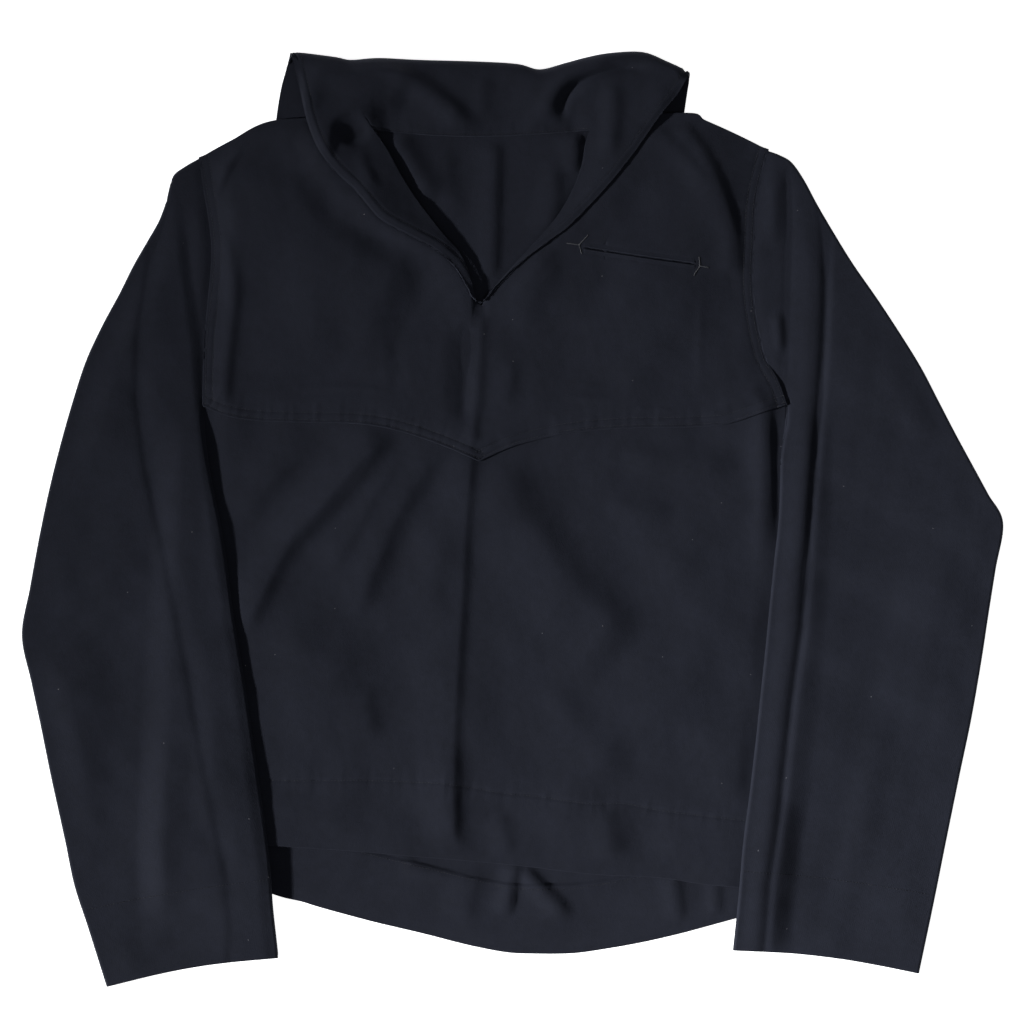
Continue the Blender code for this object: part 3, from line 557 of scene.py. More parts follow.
def side_edge(column: str, low: float, high: float) -> tuple[Point, ...]:
    """Cuts a stretch out of one of the body's side edges.

    Args:
        column: Which edge, "right" or "left".
        low: Where it starts.
        high: Where it ends.

    Returns:
        Its points, from low to high.
    """
    inner = [row.y for row in SIDES if low + 8 < row.y < high - 8]
    return tuple(Point(float(side_x(column, y)), y) for y in (low, *inner, high))


def x_at(points: Sequence[Point], y: np.ndarray) -> np.ndarray:
    """Finds where a line that climbs all the way crosses given heights.

    Args:
        points: The line's points, from low to high.
        y: The heights up the garment.

    Returns:
        The line's x at each height.
    """
    line = curve(points)
    return np.interp(y, line[:, 1], line[:, 0])


ARM_RIGHT, ARM_LEFT = Line(ARMHOLE_RIGHT, samples=8), Line(ARMHOLE_LEFT, samples=8)
SEWN = (ARM_RIGHT, ARM_LEFT, Line(SHOULDER_RIGHT, samples=8), Line(SHOULDER_LEFT, samples=8))
YOKE_LINE = Line(YOKE_EDGE_RIGHT, YOKE_EDGE_LEFT, samples=8)
NECK_LEFT_LINE = Line(NECK_LEFT, samples=6)
WING_LINES = (Line(WING_RIGHT, samples=6), Line(WING_LEFT, samples=6))
TAIL_LINE = Line(TAIL, samples=8)
FRONT_HEM_ROW = (
    Point(-262, -203), Point(-192, -209), Point(-122, -209), Point(-93, -210), Point(-52, -212),
    Point(-10, -219), Point(20, -222), Point(64, -228), Point(88, -227.5), Point(120, -233.5),
    Point(159, -238), Point(195, -242.5),
)

# The rows of stitches: how far each runs inside the edge that it follows.
YOKE_ROWS = (YOKE_LINE.beside(2.4), YOKE_LINE.beside(8.2))
ARM_ROWS = (ARM_RIGHT.beside(-1.3), ARM_RIGHT.beside(-6.8), ARM_LEFT.beside(1.3), ARM_LEFT.beside(6.8))
WING_ROWS = (WING_LINES[0].beside(-7.5), WING_LINES[1].beside(6.0))
HEM_ROW = Line(FRONT_HEM_ROW, samples=8)
TAIL_ROW = TAIL_LINE.beside(51.5)
NECK_ROW = Line(NECK_SEAM, samples=8).beside(1.6)


def seam(
    path: np.ndarray, depth: float = 0.4, width: float = 1.2, pucker: float = 0.12, seed: int = 1
) -> Seam:
    """Makes a seam along a row of stitches.

    Args:
        path: The row's points.
        depth: How deep the stitches pull.
        width: How wide the furrow is.
        pucker: The height of the puckers beside it.
        seed: Picks their places.

    Returns:
        The seam.
    """
    line = Line([Point(*xy) for xy in path[:: max(len(path) // 60, 1)]], samples=2)
    return Seam(line, depth, width, pucker, seed)


# Each ridge is listed from its upper end down, so that its left flank is the one away from the window.
FRONT_RELIEF = (
    Crease(
        ((-34, 62), (-36, 30), (-39, -10), (-41, -55), (-44, -100), (-47, -150), (-48.5, -205), (-48, -264)),
        26.0, 2.6, lean=0.24, fade=0.06,
    ),
    Crease(((-46, -170), (-47.5, -230), (-47, -280)), 15.0, 1.6, lean=0.7, fade=0.4),
    Crease(((-36, 160), (-38, 120), (-40, 75)), 5.5, -1.1, fade=0.15),
    Crease(((-25, 167), (-27, 120), (-30, 85), (-33, 58)), 5.0, 1.4, fade=0.08),
    Crease(((-56, 160), (-57, 125), (-57, 80)), 34.0, 2.0, lean=0.3, fade=0.3),
    Crease(((-186, 292), (-178, 262), (-156, 230), (-116, 202), (-70, 180)), 56.0, 6.6, lean=0.36, fade=0.2),
    Crease(((-176, 311), (-168, 301), (-158, 288)), 8.0, -2.0),
    Crease(((-214, 304), (-230, 277), (-240, 250)), 8.0, 1.8, lean=0.45),
    Crease(
        ((-232, 238), (-228, 208), (-224, 180), (-227, 150), (-231, 110), (-232, 82)),
        10.0, 2.6, lean=0.6, fade=0.15,
    ),
    Crease(((-172, 196), (-160, 160), (-152, 110)), 34.0, 1.6, lean=0.6),
    Crease(((-103, 150), (-104, 88)), 16.0, 1.2, lean=0.5),
    Crease(((108, 318), (130, 297), (144, 281), (157, 260)), 10.0, 1.6, lean=0.5),
    Crease(
        ((130, 321), (146, 301), (159, 278), (170, 250), (178, 225), (180, 190)),
        14.0, 3.2, lean=0.42, fade=0.12,
    ),
    Crease(((40, 214), (16, 182), (2, 150)), 22.0, 1.8, lean=0.5),
    Crease(((0, 130), (-3, 108), (-5, 86)), 9.0, 1.2, lean=0.7),
    Crease(((70, 190), (96, 160), (110, 110)), 40.0, 1.8, lean=0.7),
    Crease(((160, 91), (182, 97), (204, 104)), 5.0, 0.8),
    Crease(((-150, 66), (-182, 44), (-202, 20), (-226, -4)), 18.0, 2.0, lean=0.55),
    Crease(
        ((-94, 72), (-128, 41), (-154, 11), (-178, -14), (-191, -38), (-203, -63), (-218, -94)),
        20.0, 3.8, lean=0.42, fade=0.12,
    ),
    Crease(((-104, 56), (-134, 22), (-164, -8), (-190, -34)), 12.0, 1.8, lean=0.55, fade=0.25),
    Crease(
        ((-50, 66), (-76, 34), (-94, 4), (-106, -24), (-118, -52), (-132, -84)),
        20.0, 3.4, lean=0.5, fade=0.2,
    ),
    Crease(((-84, 60), (-108, 26), (-132, -16), (-150, -50)), 14.0, 1.8, lean=0.6, fade=0.25),
    Crease(((-58, 6), (-64, -40), (-66, -96)), 22.0, 1.8, lean=0.6),
    Crease(((-116, -128), (-118, -152), (-110, -180)), 18.0, 1.8, lean=0.5),
    Crease(((-140, -80), (-152, -130), (-150, -196)), 46.0, 3.0, lean=0.6),
    Crease(((-14, 48), (4, 6), (28, -32), (60, -70), (98, -106)), 36.0, 5.4, lean=0.6, fade=0.16),
    Crease(((18, -120), (40, -158), (66, -186), (100, -206)), 28.0, 3.0, lean=0.6),
    Crease(((178, -30), (150, -90), (126, -150), (104, -206)), 40.0, 3.2, lean=0.7),
    Crease(((176, -150), (172, -190), (168, -230)), 22.0, 1.8, lean=0.7),
    Crease(((190, 40), (170, 4), (140, -30), (118, -66)), 24.0, 1.8, lean=0.7),
    Crease(((84, 50), (116, 46), (152, 44), (186, 50)), 14.0, 3.0, lean=0.8),
    Crease(((70, 14), (100, 6), (130, 8)), 12.0, 1.4, lean=0.6),
    Crease(((70, -226), (76, -250), (80, -276)), 18.0, 2.4, lean=0.6),
    Crease(((-12, -232), (-4, -274)), 12.0, 1.6, lean=0.7),
    Crease(((206, 108), (206, 70), (207, 30), (209, -40)), 17.0, 4.4, lean=0.2, fade=0.34),
    Crease(((-180, 104), (-140, 105), (-104, 104)), 2.4, 0.6, fade=0.15),
    Crease(((40, 96), (60, 96.5), (78, 96)), 2.4, 0.5, fade=0.15),
    Crease(((98, 88), (112, 87.5), (128, 87)), 2.4, 0.4, fade=0.15),
    Crease(((151, 190), (150, 150), (149, 95)), 3.0, 0.35, fade=0.3),
    Unevenness(3, 95.0, 0.7),
    Unevenness(4, 34.0, 0.22),
    Unevenness(5, 13.0, 0.05),
)
YOKE_SEAMS = (
    *(seam(row, 0.42, seed=10 + n) for n, row in enumerate(YOKE_ROWS)),
    *(seam(row, 0.3, seed=20 + n) for n, row in enumerate(ARM_ROWS)),
)
LOWER_FRONT_SEAMS = (seam(HEM_ROW.xy, 0.45, 1.3, 0.16, 30),)
BACK_RELIEF = (
    Crease(((-98, 310), (-86, 292), (-74, 274), (-62, 254)), 8.0, 4.2, lean=1.3, fade=0.22),
    Crease(((-13, 304), (-14, 255), (-16, 190)), 12.0, 2.6, lean=0.35, fade=0.1),
    Crease(((28, 296), (34, 262), (26, 225)), 12.0, 2.0, lean=0.5),
    Crease(((-54, 304), (-52, 270), (-40, 240)), 14.0, 1.6, lean=0.5),
    Crease(((50, 310), (51.5, 297), (50, 276)), 14.0, 3.4, lean=0.18, fade=0.2),
    Crease(((4, -268), (0, -290), (-6, -322)), 9.0, 3.0, lean=0.4),
    Crease(((2, -272), (24, -296), (50, -322)), 9.0, 3.4, lean=0.45),
    Crease(((-24, -276), (-36, -300), (-40, -326)), 16.0, 1.8, lean=0.5),
    Crease(((-100, -262), (-72, -281), (-30, -286)), 7.0, 1.4, lean=0.6),
    Crease(((128, -278), (134, -326)), 9.0, 1.8, lean=0.5),
    Crease(((162, -280), (164, -322)), 7.0, 1.6, lean=0.5),
    seam(TAIL_ROW, 0.3, 1.2, 0.12, 40),
    Unevenness(8, 60.0, 0.35),
    Unevenness(9, 22.0, 0.1),
)
COLLAR_RELIEF = (
    Crease(
        (
            (-169.5, 352), (-166, 338), (-162.3, 320.5), (-157, 305.5), (-149.4, 290), (-137.8, 276.9),
            (-125.8, 265.8), (-116.8, 255.3), (-103, 240.1), (-79, 227), (-61.5, 217.3), (-46, 204.2),
        ),
        1.8, 1.3, lean=8.0, fade=0.1,
    ),
    Crease(((-170, 358), (-136, 354), (-108, 346), (-82, 334)), 18.0, 4.0, lean=0.8, fade=0.2),
    Crease(
        ((-136, 378), (-105, 365), (-84, 353), (-60, 336), (-40, 320), (-26, 308)),
        10.0, 4.8, lean=0.8, fade=0.22,
    ),
    Crease(((28, 316), (29, 334), (42, 351), (62, 361), (84, 368)), 7.0, 2.4, fade=0.2),
    Crease(((40, 314), (40.5, 334), (50, 347), (68, 356), (90, 360.5), (112, 361)), 4.4, -4.8, fade=0.24),
    Crease(((80, 356), (80, 320), (76, 284)), 9.0, 2.6, lean=0.8),
    Crease(((-24, 356), (-24, 318)), 7.0, 1.0),
    Crease(((108, 350), (118, 336), (112, 312)), 14.0, 1.4, lean=0.7),
    Crease(
        ((-146, 284), (-147, 303), (-143.5, 318), (-132, 325.5), (-119, 324), (-109, 316)),
        4.4, 3.2, lean=2.6, fade=0.2,
    ),
    Crease(((-122, 296), (-118, 280), (-108, 262)), 6.0, 1.4, lean=0.8),
)
COLLAR_EDGES = (
    seam(WING_ROWS[0], 0.3, 1.2, 0.05, 50),
    seam(WING_ROWS[1], 0.2, 1.2, 0.05, 51),
    seam(NECK_ROW, 0.4, 1.3, 0.12, 60),
)
COLLAR_WAVES = (Unevenness(11, 60.0, 0.4), Unevenness(12, 20.0, 0.09))
SLEEVE_RIGHT_RELIEF = (
    Crease(((-352, -85), (-351, -150), (-345, -245)), 27.0, 1.6, lean=0.7),
    Crease(((-372, 40), (-380, -30), (-378, -80)), 14.0, 1.0, lean=1.4),
    Crease(((-300, -160), (-292, -230), (-288, -300)), 22.0, 1.3),
    Crease(((-320, 110), (-330, 40)), 20.0, 1.0, lean=0.8),
    Unevenness(21, 85.0, 0.6),
    Unevenness(22, 30.0, 0.2),
)
SLEEVE_LEFT_RELIEF = (
    Crease(((252, -50), (246, -150), (236, -255)), 20.0, 1.6, lean=1.6),
    Crease(((300, 150), (318, 110), (336, 60)), 18.0, 1.4, lean=0.7),
    Crease(((345, -10), (332, -80), (310, -170)), 26.0, 1.6, lean=0.9),
    Crease(((290, -180), (282, -240), (275, -310)), 20.0, 1.1, lean=0.7),
    Unevenness(31, 85.0, 0.6),
    Unevenness(32, 30.0, 0.2),
)
STRIP_RIGHT = (Crease(((-252, 262), (-250, 215), (-250, 165)), 7.0, 0.9),)
STRIP_LEFT = (
    Crease(((209, 286), (209, 250), (208, 215)), 7.0, 1.8),
    Crease(((211, 168), (213, 150), (215, 130)), 5.0, 1.5),
    Crease(((219.5, 286), (221.5, 240), (220, 180), (219, 140), (217, 104)), 4.0, -0.7, fade=0.1),
)


@dataclass(frozen=True)
class Cloth:
    """The wool, and the air that each layer of it leaves, in millimetres."""

    ply: float = 1.6
    turned: float = 3.1
    collar: float = 2.6
    seam: float = 0.35
    lap_air: float = 0.6
    collar_air: float = 0.8
    sleeve_fold: float = 2.6
    sleeve_air: float = 0.6
    fold_wall: float = 0.9
    hem_depth: float = 55.0
    lap: float = 12.0


@dataclass(frozen=True)
class Layers:
    """How high each layer of the jumper lies at each point, from the surface under it upwards."""

    cloth: Cloth = Cloth()
    close_over: float = 22.0
    flap_spread: float = 58.0
    flap_margin: float = 14.0
    rim_rise: tuple[float, float] = (6.6, 2.2)
    rim_at_neck: tuple[float, float] = (0.1, 0.06)
    rim_spread: float = 17.0
    swell: float = 1.3

    def flap_lift(self, p: np.ndarray) -> np.ndarray:
        """Gives the height of the back's underside, which lies over the collar's flap.

        Args:
            p: The points, one row each, in millimetres.

        Returns:
            The height, in millimetres.
        """
        lift = np.ones(len(p))
        loop = (FLAP_TOP_RIGHT, FLAP_RIGHT, FLAP_LEFT, FLAP_TOP_LEFT)
        for a, b in zip(loop, loop[1:]):
            run = np.array([b.x - a.x, b.y - a.y]) / math.dist(a, b)
            inside = (p - np.array(a)) @ np.array([-run[1], run[0]])
            lift *= ease((inside + self.flap_spread) / (self.flap_spread - self.flap_margin))
        return (self.cloth.collar + 0.6) * lift

    def back_top(self, p: np.ndarray) -> np.ndarray:
        """Gives the height of the back's upper side, leaving out its hem."""
        return self.flap_lift(p) + self.cloth.ply

    def hem_room(self, p: np.ndarray) -> np.ndarray:
        """Gives how much the tail's turned-up hem lifts the front's lower end."""
        lowest = np.interp(p[:, 0], *zip(*TAIL)) + self.cloth.hem_depth
        return (self.cloth.turned - self.cloth.ply) * ease((lowest + 40.0 - p[:, 1]) / 28.0)

    def rim(self, p: np.ndarray) -> np.ndarray:
        """Gives how far the front stands up along the collar's outer edge, round the neck opening.

        Args:
            p: The points, one row each, in millimetres.

        Returns:
            The rise, in millimetres.
        """
        y = np.clip(p[:, 1], 176.0, 321.0)
        share_up = np.interp(p[:, 1], (120, 150, 176, 205, 250, 300), (0.0, 0.1, 0.35, 0.7, 1.0, 1.0))
        total = np.zeros(len(p))
        sides = ((WING_RIGHT, NECK_RIGHT, -1.0), (WING_LEFT, NECK_LEFT, 1.0))
        for (wing, neck, way), at_neck, rise in zip(sides, self.rim_at_neck, self.rim_rise):
            edge, inner = x_at(wing, y), x_at(neck, y)
            share = (p[:, 0] - inner) / (edge - inner)
            beyond = (p[:, 0] - edge) * way * 0.75
            climb = at_neck + (1.0 - at_neck) * np.clip(share, 0.0, 1.0)
            slope = np.where(share < 1.0, climb, np.exp(-((beyond / self.rim_spread) ** 2)))
            here = np.where((p[:, 0] - inner) * way > -1.0, rise * share_up * slope, 0.0)
            total = np.maximum(total, here)
        return total * (1.0 - self.dent(p))

    def dent(self, p: np.ndarray) -> np.ndarray:
        """Gives 1 in the hollow beside the neck opening's upper right corner and 0 away from it."""
        return np.exp(-((((p[:, 0] - DENT.x) / 11.0) ** 2 + ((p[:, 1] - DENT.y) / 10.0) ** 2) ** 2))

    def under_collar(self, p: np.ndarray) -> np.ndarray:
        """Gives 1 where the collar's wings hide the yoke and 0 where it shows."""
        inside = np.minimum(-WING_LINES[0].measure(p)[0], WING_LINES[1].measure(p)[0])
        return ease((inside + 2.0) / 6.0)

    def closing(self, p: np.ndarray) -> np.ndarray:
        """Gives 0 where front and back are sewn together and 1 away from those seams.

        Args:
            p: The points, one row each, in millimetres.

        Returns:
            The share at each point.
        """
        away = [line.away(p) for line in SEWN]
        away += [p[:, 0] - side_x("right", p[:, 1]), side_x("left", p[:, 1]) - p[:, 0]]
        return ease(np.min(away, axis=0) / self.close_over)

    def front_air(self, p: np.ndarray) -> np.ndarray:
        """Gives the air under the front: its swell and creases, nothing along its sewn edges.

        Args:
            p: The points, one row each, in millimetres.

        Returns:
            The air, in millimetres.
        """
        swell = np.clip(self.swell + lifted(p, FRONT_RELIEF), 0.12, 8.5)
        at_neck = 0.3 + 0.7 * ease(NECK_LEFT_LINE.away(p) / 18.0)
        return self.cloth.seam + self.closing(p) * swell * at_neck * (1.0 - self.dent(p))

    def above_hem(self, p: np.ndarray) -> np.ndarray:
        """Gives how far each point is below the top of the front's turned-up hem."""
        edge = np.array(FRONT_HEM_RIGHT + FRONT_HEM_LEFT[1:])
        return np.interp(p[:, 0], edge[:, 0], edge[:, 1]) + self.cloth.hem_depth - p[:, 1]

    def front_top(self, p: np.ndarray) -> np.ndarray:
        """Gives the height of the lower front's upper side."""
        hem = (self.cloth.turned - self.cloth.ply) * ease((self.above_hem(p) + 44.0) / 40.0)
        return self.back_top(p) + self.hem_room(p) + self.front_air(p) + self.cloth.ply + hem

    def yoke_under(self, p: np.ndarray) -> np.ndarray:
        """Gives the height of the yoke's underside, over the lower front at its lap.

        Args:
            p: The points, one row each, in millimetres.

        Returns:
            The height, in millimetres.
        """
        edge_y = np.interp(p[:, 0], *zip(*(YOKE_EDGE_RIGHT + YOKE_EDGE_LEFT[1:])))
        lap = 1.0 - ease((p[:, 1] - edge_y - self.cloth.lap - 3.0) / 26.0)
        over = (self.cloth.ply + self.cloth.lap_air) * lap
        sunk = 0.75 * self.under_collar(p)
        return self.back_top(p) + self.front_air(p) + over + self.rim(p) * self.closing(p) - sunk

    def wing_under(self, p: np.ndarray) -> np.ndarray:
        """Gives the height of the collar's underside where it lies on the front."""
        return self.back_top(p) + self.front_air(p) + self.rim(p) + self.cloth.ply + self.cloth.collar_air

    def under_sleeve(self, p: np.ndarray, column: str) -> np.ndarray:
        """Gives the height that a sleeve lies at, on the body's side and down beyond it.

        Args:
            p: The points, one row each.
            column: Which side of the body, "right" or "left".

        Returns:
            The height at each point.
        """
        edge = side_x(column, p[:, 1])
        inside = (p[:, 0] - edge) if column == "right" else (edge - p[:, 0])
        low, over = (-350.0, 60.0) if column == "right" else (-375.0, 55.0)
        beside = ease((inside + 40.0) / 26.0) * ease((96.0 - p[:, 1]) / 46.0)
        return (self.front_top(p) + self.cloth.sleeve_air) * beside * ease((p[:, 1] - low) / over)


def sheet(name: str, across: np.ndarray, up: np.ndarray, place: Place) -> bpy.types.Object:
    """Makes a grid of cloth, with a UV map in metres of flat cloth.

    Args:
        name: What the piece is called.
        across: The grid's shares across.
        up: The grid's shares up.
        place: Turns shares across and up into points and places on the flat cloth, in millimetres.

    Returns:
        The new piece, one face thick. Points that meet are joined.
    """
    u, v = (grid.ravel() for grid in np.meshgrid(across, up))
    points, flat = place(u, v)
    nu, nv = len(across), len(up)
    corner = (np.arange(nv - 1)[:, None] * nu + np.arange(nu - 1)[None, :]).ravel()
    faces = np.column_stack([corner, corner + 1, corner + nu + 1, corner + nu])
    mesh = bpy.data.meshes.new(name)
    mesh.from_pydata((points * MM).tolist(), [], faces.tolist())
    layer = mesh.uv_layers.new(name="flat_cloth")
    layer.data.foreach_set("uv", (flat[faces.ravel()] * MM).astype(np.float32).ravel())
    bm = bmesh.new()
    bm.from_mesh(mesh)
    bmesh.ops.remove_doubles(bm, verts=bm.verts[:], dist=1e-6)
    bm.to_mesh(mesh)
    bm.free()
    mesh.shade_smooth()
    return bpy.data.objects.new(name, mesh)


def link(obj: bpy.types.Object) -> bpy.types.Object:
    """Puts a piece into the scene."""
    bpy.context.scene.collection.objects.link(obj)
    return obj


def applied(obj: bpy.types.Object) -> bpy.types.Object:
    """Turns a piece's modifiers into its own plain mesh.

    Args:
        obj: A piece that is already in the scene.

    Returns:
        The same piece, with no modifiers.
    """
    bpy.context.view_layer.update()
    graph = bpy.context.evaluated_depsgraph_get()
    mesh = bpy.data.meshes.new_from_object(obj.evaluated_get(graph), depsgraph=graph)
    mesh.name = obj.name
    obj.modifiers.clear()
    obj.vertex_groups.clear()
    obj.data = mesh
    return obj


def walled(
    obj: bpy.types.Object,
    thickness: float,
    side: float,
    turned: float = 0.0,
    share_turned: Callable[[np.ndarray], np.ndarray] | None = None,
    edge: float = 0.4,
) -> bpy.types.Object:
    """Gives a sheet its wall, with rounded edges.

    Args:
        obj: The sheet.
        thickness: The wall of one ply.
        side: Where the wall goes: 1 above the sheet, -1 below it, 0 both ways.
        turned: The wall where the cloth is turned up.
        share_turned: Tells how far each point lies in the turned-up part, from 0 to 1.
        edge: The rounding of the cut or folded edges.

    Returns:
        The same piece as a closed, plain mesh.
    """
    link(obj)
    solid = obj.modifiers.new("wall", "SOLIDIFY")
    solid.thickness = max(thickness, turned) * MM
    solid.offset = side
    solid.use_quality_normals = True
    if share_turned is not None:
        group = obj.vertex_groups.new(name="turned_up")
        points = np.empty(len(obj.data.vertices) * 3, np.float32)
        obj.data.vertices.foreach_get("co", points)
        for index, share in enumerate(share_turned(points.reshape(-1, 3) / MM)):
            group.add([index], float(share), "REPLACE")
        solid.vertex_group = group.name
        solid.thickness_vertex_group = thickness / turned
    bevel = obj.modifiers.new("edge", "BEVEL")
    bevel.width = edge * MM
    bevel.segments = 2
    bevel.limit_method = "ANGLE"
    bevel.angle_limit = math.radians(55)
    bevel.use_clamp_overlap = False
    bevel.offset_type = "ABSOLUTE"
    applied(obj)
    tidied(obj.data)
    obj.data.shade_smooth()
    return obj


def tidied(mesh: bpy.types.Mesh, off: float = 3.0, reach: float = 2.0) -> None:
    """Moves the bevel's stray corners back among their neighbours, and keeps the mesh above the table.

    Args:
        mesh: The finished mesh, in metres.
        off: How far a stray corner is at least from the middle of its neighbours, in millimetres.
        reach: How far it is at least from the nearest of them.
    """
    points = np.empty(len(mesh.vertices) * 3, np.float32)
    mesh.vertices.foreach_get("co", points)
    points = points.reshape(-1, 3)
    ends = np.empty(len(mesh.edges) * 2, np.int32)
    mesh.edges.foreach_get("vertices", ends)
    ends = ends.reshape(-1, 2)
    lengths = np.linalg.norm(points[ends[:, 0]] - points[ends[:, 1]], axis=1)
    total, count, nearest = np.zeros((len(points), 3)), np.zeros(len(points)), np.full(len(points), np.inf)
    for one, other in ((0, 1), (1, 0)):
        np.add.at(total, ends[:, one], points[ends[:, other]])
        np.add.at(count, ends[:, one], 1)
        np.minimum.at(nearest, ends[:, one], lengths)
    middle = total / np.maximum(count, 1)[:, None]
    stray = (np.linalg.norm(points - middle, axis=1) > off * MM) & (nearest > reach * MM)
    LOG.info("%s: %d stray corners moved", mesh.name, int(stray.sum()))
    points[stray] = middle[stray]
    points[:, 2] = np.maximum(points[:, 2], 0.0)
    mesh.vertices.foreach_set("co", points.ravel().astype(np.float32))
    mesh.update()


def over_armholes(p: np.ndarray, reach: float = 0.75) -> np.ndarray:
    """Lets a piece reach over its armhole seams, where it is sewn to the sleeves.

    Args:
        p: The points, one row each.
        reach: How far it reaches over.

    Returns:
        The points, with those along the armholes moved outwards.
    """
    moved = p.copy()
    for line, way in ((ARM_RIGHT, -1.0), (ARM_LEFT, 1.0)):
        moved[:, 0] += way * reach * np.exp(-((line.away(p) / 2.0) ** 2))
    return moved


@dataclass
class Back:
    """The back, in one piece, with its tail's hem turned up on the inside."""

    layers: Layers
    flat: tuple[float, float] = (0.505, 0.672)
    side_share: float = 0.62
    hem_step: float = 1.2

    def in_hem(self, p: np.ndarray) -> np.ndarray:
        """Tells how far points lie in the turned-up hem.

        Args:
            p: The points, one row each.

        Returns:
            0 in the single cloth and 1 in the hem.
        """
        top = np.interp(p[:, 0], *zip(*TAIL)) + self.layers.cloth.hem_depth
        return ease((top - p[:, 1]) / self.hem_step + 0.5)

    def place(self, u: np.ndarray, v: np.ndarray) -> tuple[np.ndarray, np.ndarray]:
        """Lays out the back's underside.

        Args:
            u: The points' shares across.
            v: The points' shares up.

        Returns:
            The points, and their places on the flat cloth.
        """
        shares = (self.side_share, 1 - self.side_share)
        left = Line(side_edge("right", -272, 92), ARMHOLE_RIGHT, shares=shares)
        right = Line(side_edge("left", -315, 92), ARMHOLE_LEFT, shares=shares)
        top = Line(SHOULDER_RIGHT, BACK_NECK, SHOULDER_LEFT, shares=(0.26, 0.44, 0.30))
        p = panel(left, right, Line(TAIL), top, u, v)
        z = self.layers.flap_lift(p) + np.maximum(0.5 + lifted(p, BACK_RELIEF), 0.0) * self.free(p)
        return np.column_stack([over_armholes(p), z]), p

    def free(self, p: np.ndarray) -> np.ndarray:
        """Tells how far the back may rise: 0 along its sewn edges and under the front, 1 where it shows.

        Args:
            p: The points, one row each, in millimetres.

        Returns:
            The share at each point.
        """
        neck = ease((x_at(NECK_LEFT, np.clip(p[:, 1], 174, 311)) - p[:, 0]) / 6.0 + 0.4)
        neck *= ease((p[:, 0] - x_at(NECK_RIGHT, np.clip(p[:, 1], 174, 313))) / 8.0 + 0.3)
        neck *= ease((318.0 - p[:, 1]) / 12.0) * ease((p[:, 1] - 168.0) / 20.0)
        hem = np.array(FRONT_HEM_RIGHT + FRONT_HEM_LEFT[1:])
        tail = ease((np.interp(p[:, 0], hem[:, 0], hem[:, 1]) + 14.0 - p[:, 1]) / 16.0)
        tail *= ease((p[:, 1] - np.interp(p[:, 0], *zip(*TAIL))) / 14.0)
        return np.maximum(neck, tail)

    def build(self) -> bpy.types.Object:
        """Builds the back as a closed, plain mesh.

        Returns:
            The finished piece.
        """
        across = spaced((0.03, 8), (0.97, 132), (1.0, 8))
        up = spaced((0.012, 6), (0.075, 14), (0.095, 12), (self.side_share, 90), (0.97, 62), (1.0, 8))
        obj = sheet("back_cloth", across, up, self.place)
        cloth = self.layers.cloth
        return walled(obj, cloth.ply, 1.0, cloth.turned, self.in_hem)


@dataclass
class LowerFront:
    """The lower front, which runs up under the yoke and has a deep hem turned up inside."""

    layers: Layers
    flat: tuple[float, float] = (0.487, 0.385)

    def place(self, u: np.ndarray, v: np.ndarray) -> tuple[np.ndarray, np.ndarray]:
        """Lays out the lower front's upper side.

        Args:
            u: The points' shares across.
            v: The points' shares up.

        Returns:
            The points, and their places on the flat cloth.
        """
        lap = self.layers.cloth.lap
        top = Line(
            [Point(q.x, q.y + (lap if q.x > -240 else 2.0)) for q in YOKE_EDGE_RIGHT],
            [Point(q.x, q.y + (lap if q.x < 190 else 2.0)) for q in YOKE_EDGE_LEFT],
        )
        left = Line(side_edge("right", -257, 92))
        right = Line(side_edge("left", -294.5, 92))
        p = panel(left, right, Line(FRONT_HEM_RIGHT, FRONT_HEM_LEFT), top, u, v)
        return np.column_stack([p, self.layers.front_top(p) + lifted(p, LOWER_FRONT_SEAMS)]), p

    def build(self) -> bpy.types.Object:
        """Builds the lower front as a closed, plain mesh.

        Returns:
            The finished piece.
        """
        cloth = self.layers.cloth
        across = spaced((0.03, 9), (0.44, 84), (0.5, 18), (0.97, 98), (1.0, 9))
        up = spaced((0.015, 5), (0.13, 18), (0.18, 16), (0.95, 112), (1.0, 10))
        obj = sheet("front_body_cloth", across, up, self.place)
        return walled(
            obj, cloth.ply, -1.0, cloth.turned, lambda p: ease(self.layers.above_hem(p) / 1.5 + 0.5)
        )


